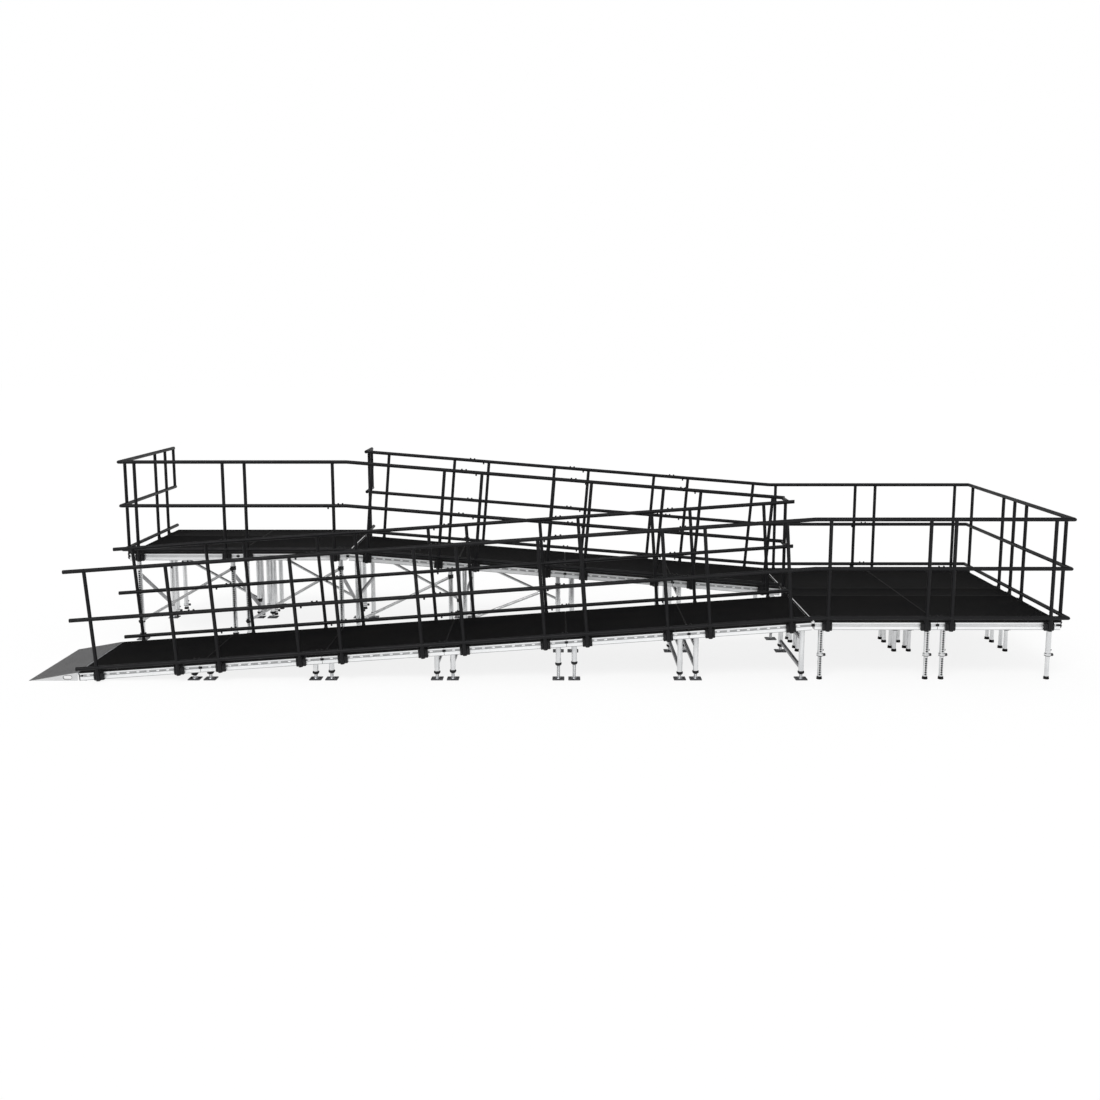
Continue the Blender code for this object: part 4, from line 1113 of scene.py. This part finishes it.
def upper_run():
    """Four sloping modules with a strip at each end of the run, and the top landing behind them."""
    for number in range(1, 5):
        options = {"braced": number > 2, "locks": "l" if number < 4 else "", "tied": (LEG_END_INSET,)}
        strip = {1: 1, 4: -1}.get(number, 0)
        finish_frame(module(f"upper_deck_{number}", "jack", slotted=True, strip=strip, **options)[0])
    pegged = [(x, LEG_SIDE_INSET) for x in BOTH_ENDS]
    for number, locks, tied in ((1, "r", BOTH_ENDS), (2, "", (FAR_END,))):
        options = {"braced": True, "tied": tied, "steep": True, "pegged": pegged}
        finish_frame(module(f"top_deck_{number}", "jack", locks=locks, **options)[0])
        name = f"top_filler_deck_{number}"
        finish_frame(module(name, "telescopic", locks=locks, collar=TOP_FILLER_COLLAR)[0])


def landing():
    """Two columns of three level modules. The legs at the front corners are loose."""
    for number, locks, end in ((1, "r", LEG_END_INSET), (2, "", FAR_END)):
        spot = (end, LEG_SIDE_INSET)
        pegged = [(x, LEG_SIDE_INSET) for x in BOTH_ENDS[: 3 - number]]
        name = f"landing_front_deck_{number}"
        piece, feet, place = module(name, "telescopic", loose=[spot], locks=locks, pegged=pegged)
        if number == 2:
            corner_plug(piece, place, DECK_SIDE - 0.022, 0, -BACK)
            corner_plug(piece, place, DECK_SIDE, 0.022, RIGHT)
        finish_frame(piece)
        loose_leg(number, *feet[spot][:2])
        for kind in ("landing_filler_deck", "landing_rear_deck"):
            finish_frame(module(f"{kind}_{number}", "telescopic", locks=locks)[0])


# Guardrails


def upright_cut(start, along, up, x):
    """Where a rail at each height ends on an upright plane at x, with the plane's normal."""

    def place(height):
        point = start + up * height
        return point + along * ((x - point.x) / along.x), RIGHT

    return place


def bend(point, up, along, sign, onward=RIGHT):
    """Where a rail at each height meets a level one that goes onward, with the mitre plane's normal.
    sign says on which side of that plane this rail ends."""

    def place(height):
        middle = point + (up + LEVEL) * (height / (1 + up.dot(LEVEL)))
        normal = (along + onward).normalized()
        return middle + normal * (sign * FIT_GAP / 2), normal

    return place


def corner(point, along, onward, sign):
    """The same where two level rails meet."""
    return bend(point, LEVEL, along, sign, onward)


def clamp(piece, foot, along, up, outward):
    """The cast bracket that bolts a post to the channel: cheeks, post barrel, under-lip and bolts."""
    edge = foot - outward * RAIL_OUTSET
    place = Matrix.Translation(edge) @ Matrix((along, outward, up)).transposed().to_4x4()
    half = CLAMP_WIDTH / 2
    low = -STACK - 0.004
    high = -PANEL / 2
    piece.add(CAST, box((-half, FIT_GAP, low), (half, CLAMP_PLATE, high), 0.003), place=place)
    for side in (-1, 1):
        x0, x1 = sorted((side * 0.019, side * (half - 0.004)))
        cheek = box((x0, CLAMP_PLATE - 0.002, low + 0.012), (x1, CLAMP_FACE, high - 0.010), 0.004)
        piece.add(CAST, cheek, place=place)
        for z in (low + 0.026, high - 0.024):
            spot = Vector((side * 0.033, CLAMP_FACE, z))
            piece.add(CAST, *hexagon_bolt(spot, BACK, 0.0065, 0.006), place=place)
    barrel = [(low, BARREL_RADIUS - 0.001), (low + 0.003, BARREL_RADIUS)]
    barrel += [(high + 0.006, BARREL_RADIUS), (high + 0.009, BARREL_RADIUS - 0.0015)]
    piece.add(CAST, along_axis(barrel, Vector((0, RAIL_OUTSET - 0.004, 0)), LEVEL), place=place)
    screw = Vector((0, CLAMP_DEPTH - 0.0048, (low + high) / 2))
    piece.add(CAST, *hexagon_bolt(screw, BACK, 0.0055, 0.0045, False), place=place)


def rail_coupler(piece, point, along, up):
    """The bolts that lock a rail's inner sleeve: two on top at the joint, and one below, downhill."""
    downhill = -along if along.z >= 0 else along
    for offset, side, height in ((0.030, 1, 0.011), (-0.018, 1, 0.011), (0.145, -1, 0.018)):
        spot = point + downhill * offset + up * (side * (RAIL_TUBE - SEAT))
        if spot.z + height < CAD_BOX[1][2]:
            piece.add(CAST, *hexagon_bolt(spot, up * side, 0.0095, height, False))


def end_cap(piece, point, direction):
    """A rubber plug in a rail's open end."""
    profile = [(-0.004, RAIL_TUBE * 0.9), (0.0, RAIL_TUBE), (0.003, RAIL_TUBE), (0.005, RAIL_TUBE * 0.8)]
    piece.add(RUBBER, along_axis(profile, point - direction * 0.0052, direction))


def guardrail(
    name, start, end, up, outward, posts, joints=(), cuts=(None, None), capped=(False, False), closed=False
):
    """Three parallel rails with posts and clamps. joints are where the rail tubes are coupled. cuts and
    capped are given for the start and the end. A closed end has an upright between its upper rails."""
    along = (end - start).normalized()
    piece = Piece(name + "_dressed")
    for height in (KICK_RAIL, MID_RAIL, TOP_RAIL):
        first, last = (
            cut(height) if cut else (point + up * height, along) for cut, point in zip(cuts, (start, end))
        )
        piece.add(COAT, mitred_bar(first, last, RAIL_TUBE))
        for has_cap, (point, _), direction in zip(capped, (first, last), (-along, along)):
            if has_cap:
                end_cap(piece, point, direction)
        for distance in joints:
            if height < TOP_RAIL or along.z:
                rail_coupler(piece, start + along * distance + up * height, along, up)
    for distance in posts:
        foot = start + along * distance
        piece.add(COAT, rod(foot + up * (-STACK + 0.002), foot + up * TOP_RAIL, POST_RADIUS))
        clamp(piece, foot, along, up, outward)
    if closed:
        spot = end - along * RAIL_RADIUS
        piece.add(COAT, rod(spot + up * MID_RAIL, spot + up * TOP_RAIL, POST_RADIUS))
    piece.make("ramp", "black_tube", name)


def beside(count, inset, offset=0):
    """Distances of the posts, two a module, and of the rail joints, along a row of modules."""
    starts = [offset + index * DECK_PITCH for index in range(count)]
    posts = [post for start in starts for post in (start + inset, start + DECK_SIDE - inset)]
    return posts, [start - MODULE_GAP / 2 for start in starts[1:]]


def guardrails():
    """Every guardrail section, placed from the modules that it runs beside."""
    lower, upper = (deck_place(f"{run}_deck_1")[0] for run in ("lower", "upper"))
    names = ("landing_front_deck_1", "landing_front_deck_2", "landing_rear_deck_1", "top_deck_1")
    first, second, rear, top, top_right = (
        deck_place(name)[0].translation for name in (*names, "top_deck_2")
    )
    filler, filler_depth = deck_place("top_filler_deck_1")
    low, high, x0 = first.z, top.z, first.x
    front_y = first.y - RAIL_OUTSET
    lower_inner_y = first.y + DECK_SIDE + RAIL_OUTSET
    upper_inner_y = rear.y - RAIL_OUTSET
    rear_y = rear.y + DECK_SIDE + RAIL_OUTSET
    right_x = second.x + DECK_SIDE + RAIL_OUTSET
    left_x = top.x - RAIL_OUTSET
    head_x = top_right.x + DECK_SIDE
    return_x = head_x + RAIL_OUTSET
    gap_x = x0 - RAIL_OUTSET
    top_edge = filler.translation.y + filler_depth
    lower_along, _, lower_up = lower.to_3x3().col
    upper_along, _, upper_up = upper.to_3x3().col
    side_post = RAIL_OUTSET + LANDING_POST_INSET
    side_far = RAIL_OUTSET + DECK_SIDE - LANDING_POST_INSET
    rear_set = rear.y - first.y
    middle_post = side_far + (side_post + rear_set - side_far) / 2
    filler_post = RAIL_OUTSET + DECK_SIDE + MODULE_GAP + filler_depth / 2
    six_decks = beside(6, RAMP_POST_INSET)
    four_decks = beside(4, RAMP_POST_INSET, STRIP_WIDTH + MODULE_GAP)
    two_decks = beside(2, LANDING_POST_INSET)
    back_run = lower_along * (first - lower.translation).length

    front_bend = Vector((x0, front_y, low))
    front_corner = Vector((right_x, front_y, low))
    rear_corner = Vector((right_x, rear_y, low))
    rear_bend = Vector((x0, rear_y, low))
    lower_foot = Vector((x0, lower_inner_y, low))
    upper_foot = Vector((x0, upper_inner_y, low))
    upper_head = Vector((head_x, upper_inner_y, high))
    rear_head = Vector((head_x, rear_y, high))
    top_corner = Vector((left_x, upper_inner_y, high))

    guardrail(
        "lower_front_guardrail", front_bend - back_run, front_bend, lower_up, -BACK, *six_decks,
        cuts=(None, bend(front_bend, lower_up, lower_along, -1)), capped=(True, False),
    )
    guardrail(
        "landing_front_guardrail", front_bend, front_corner, LEVEL, -BACK, *two_decks,
        cuts=(bend(front_bend, lower_up, lower_along, 1), corner(front_corner, RIGHT, BACK, -1)),
    )
    guardrail(
        "landing_right_guardrail", front_corner, rear_corner, LEVEL, RIGHT,
        [side_post, side_far, middle_post, rear_set + side_post, rear_set + side_far],
        cuts=(corner(front_corner, RIGHT, BACK, 1), corner(rear_corner, BACK, -RIGHT, -1)),
    )
    guardrail(
        "landing_rear_guardrail", rear_bend, rear_corner, LEVEL, BACK, *two_decks,
        cuts=(bend(rear_bend, upper_up, upper_along, 1), corner(rear_corner, RIGHT, -BACK, -1)),
    )
    past_gap = upright_cut(lower_foot, lower_along, lower_up, gap_x + RAIL_FLAT + GAP_RAIL_PASS)
    guardrail(
        "lower_rear_guardrail", lower_foot - back_run, lower_foot, lower_up, BACK, *six_decks,
        cuts=(None, past_gap), capped=(True, True),
    )
    stub_start = Vector((gap_x, lower_inner_y + RAIL_FLAT + FIT_GAP, low))
    stub_end = Vector((gap_x, upper_inner_y - RAIL_FLAT - FIT_GAP, low))
    stub_post = (stub_end - stub_start).length / 2
    guardrail("landing_gap_guardrail", stub_start, stub_end, LEVEL, -RIGHT, [stub_post])
    at_gap = upright_cut(upper_foot, upper_along, upper_up, gap_x + RAIL_FLAT)
    guardrail(
        "upper_front_guardrail", upper_head, upper_foot, upper_up, -BACK, *four_decks,
        cuts=(bend(upper_head, upper_up, upper_along, 1), at_gap), capped=(False, True),
    )
    guardrail(
        "top_front_guardrail", top_corner, upper_head, LEVEL, -BACK,
        beside(2, LANDING_POST_INSET, RAIL_OUTSET)[0], [(upper_head - top_corner).length - JOINT_SET],
        (corner(top_corner, RIGHT, -BACK, 1), bend(upper_head, upper_up, upper_along, -1)),
    )
    guardrail(
        "top_left_guardrail", top_corner, Vector((left_x, top_edge + RAIL_OVERHANG, high)), LEVEL, -RIGHT,
        [side_post, side_far, filler_post], cuts=(corner(top_corner, -RIGHT, BACK, 1), None),
        capped=(False, True), closed=True,
    )
    return_start = Vector((return_x, rear_y - RAIL_FLAT, high))
    guardrail(
        "top_return_guardrail", return_start, Vector((return_x, top_edge, high)), LEVEL, RIGHT,
        [top_edge - filler_depth / 2 - rear_y + RAIL_FLAT], capped=(False, True), closed=True,
    )
    at_return = upright_cut(rear_head, upper_along, upper_up, return_x + RAIL_FLAT + FIT_GAP)
    guardrail(
        "upper_rear_guardrail", rear_head, rear_bend, upper_up, BACK, *four_decks,
        cuts=(at_return, bend(rear_bend, upper_up, upper_along, -1)),
    )


# Stage, light and camera


def floor():
    """A plain white floor that keeps the ramp's soft shadow."""
    far = FLOOR_REACH
    mesh = bpy.data.meshes.new("floor")
    mesh.from_pydata([(-far, -far, 0), (far, -far, 0), (far, far, 0), (-far, far, 0)], [], [(0, 1, 2, 3)])
    item = linked("floor", mesh)
    look = Look("white_floor")
    values = {"Base Color": (1, 1, 1, 1), "Roughness": 0.9, "Specular IOR Level": 0.0}
    for key, value in values.items():
        look.feed(look.shader.inputs[key], value)
    glow = look.add("ShaderNodeEmission", (1, 1, 1, 1))
    share = look.math("MULTIPLY", look.any_ray("Is Camera Ray", "Is Glossy Ray"), FLOOR_GLOW)
    blend = look.add("ShaderNodeMixShader", share, look.shader.outputs[0], glow.outputs[0])
    look.feed(look.tree.nodes["Material Output"].inputs["Surface"], blend.outputs[0])
    mesh.materials.append(look.material)


def world():
    """A plain studio: an even sky for light, a white backdrop in view, and a dim ceiling and side walls."""
    sky = bpy.data.worlds.new("studio")
    bpy.context.scene.world = sky
    sky.use_nodes = True
    nodes = Nodes(sky.node_tree)
    back = nodes.tree.nodes["Background"]
    back.inputs["Color"].default_value = (1, 1, 1, 1)
    place = nodes.add("ShaderNodeTexCoord").outputs["Generated"]
    heading = nodes.add("ShaderNodeSeparateXYZ", place)
    sides = nodes.spread(nodes.math("ABSOLUTE", heading.outputs["X"]), 1.0, SIDE_WALLS, 0.55, 0.95)
    ceiling = nodes.spread(heading.outputs["Z"], 1.0, CEILING, 0.15, 0.75)
    seen = nodes.any_ray("Is Camera Ray", "Is Transmission Ray")
    mirrored = nodes.math("MULTIPLY", nodes.any_ray("Is Glossy Ray"), nodes.math("MULTIPLY", sides, ceiling))
    light = nodes.math("MULTIPLY", nodes.math("SUBTRACT", 1.0, nodes.any_ray(*RAYS_IN_VIEW)), SKY)
    level = nodes.math("MAXIMUM", nodes.math("MAXIMUM", seen, mirrored), light)
    nodes.feed(back.inputs["Strength"], level)


def sun(name, turn, strength, angle):
    """A soft sun lamp, turned by degrees."""
    light = bpy.data.lights.new(name, "SUN")
    light.energy = strength
    light.angle = math.radians(angle)
    linked(name, light).rotation_euler = [math.radians(a) for a in turn]


def camera():
    """The photograph's view, solved from the deck joints and placed from the landing's front corner."""
    landing_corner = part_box("landing_front_frame_1")[0]
    data = bpy.data.cameras.new("camera")
    data.sensor_width = 36.0
    data.lens = LENS
    data.shift_x, data.shift_y = LENS_SHIFT
    data.clip_end = 300.0
    item = linked("camera", data)
    x, y = CAMERA_FROM_LANDING
    item.location = (landing_corner.x + x, landing_corner.y + y, CAMERA_HEIGHT)
    item.rotation_euler = (math.pi / 2 - CAMERA_TILT, 0, 0)
    bpy.context.scene.camera = item


lower_run()
landing()
upper_run()
entry_wedge()
guardrails()
floor()
world()
sun("key", (38, -18, 0), 1.5, 24)
sun("fill", (62, 24, 0), 0.35, 60)
camera()
bpy.context.scene.view_settings.view_transform = "Standard"
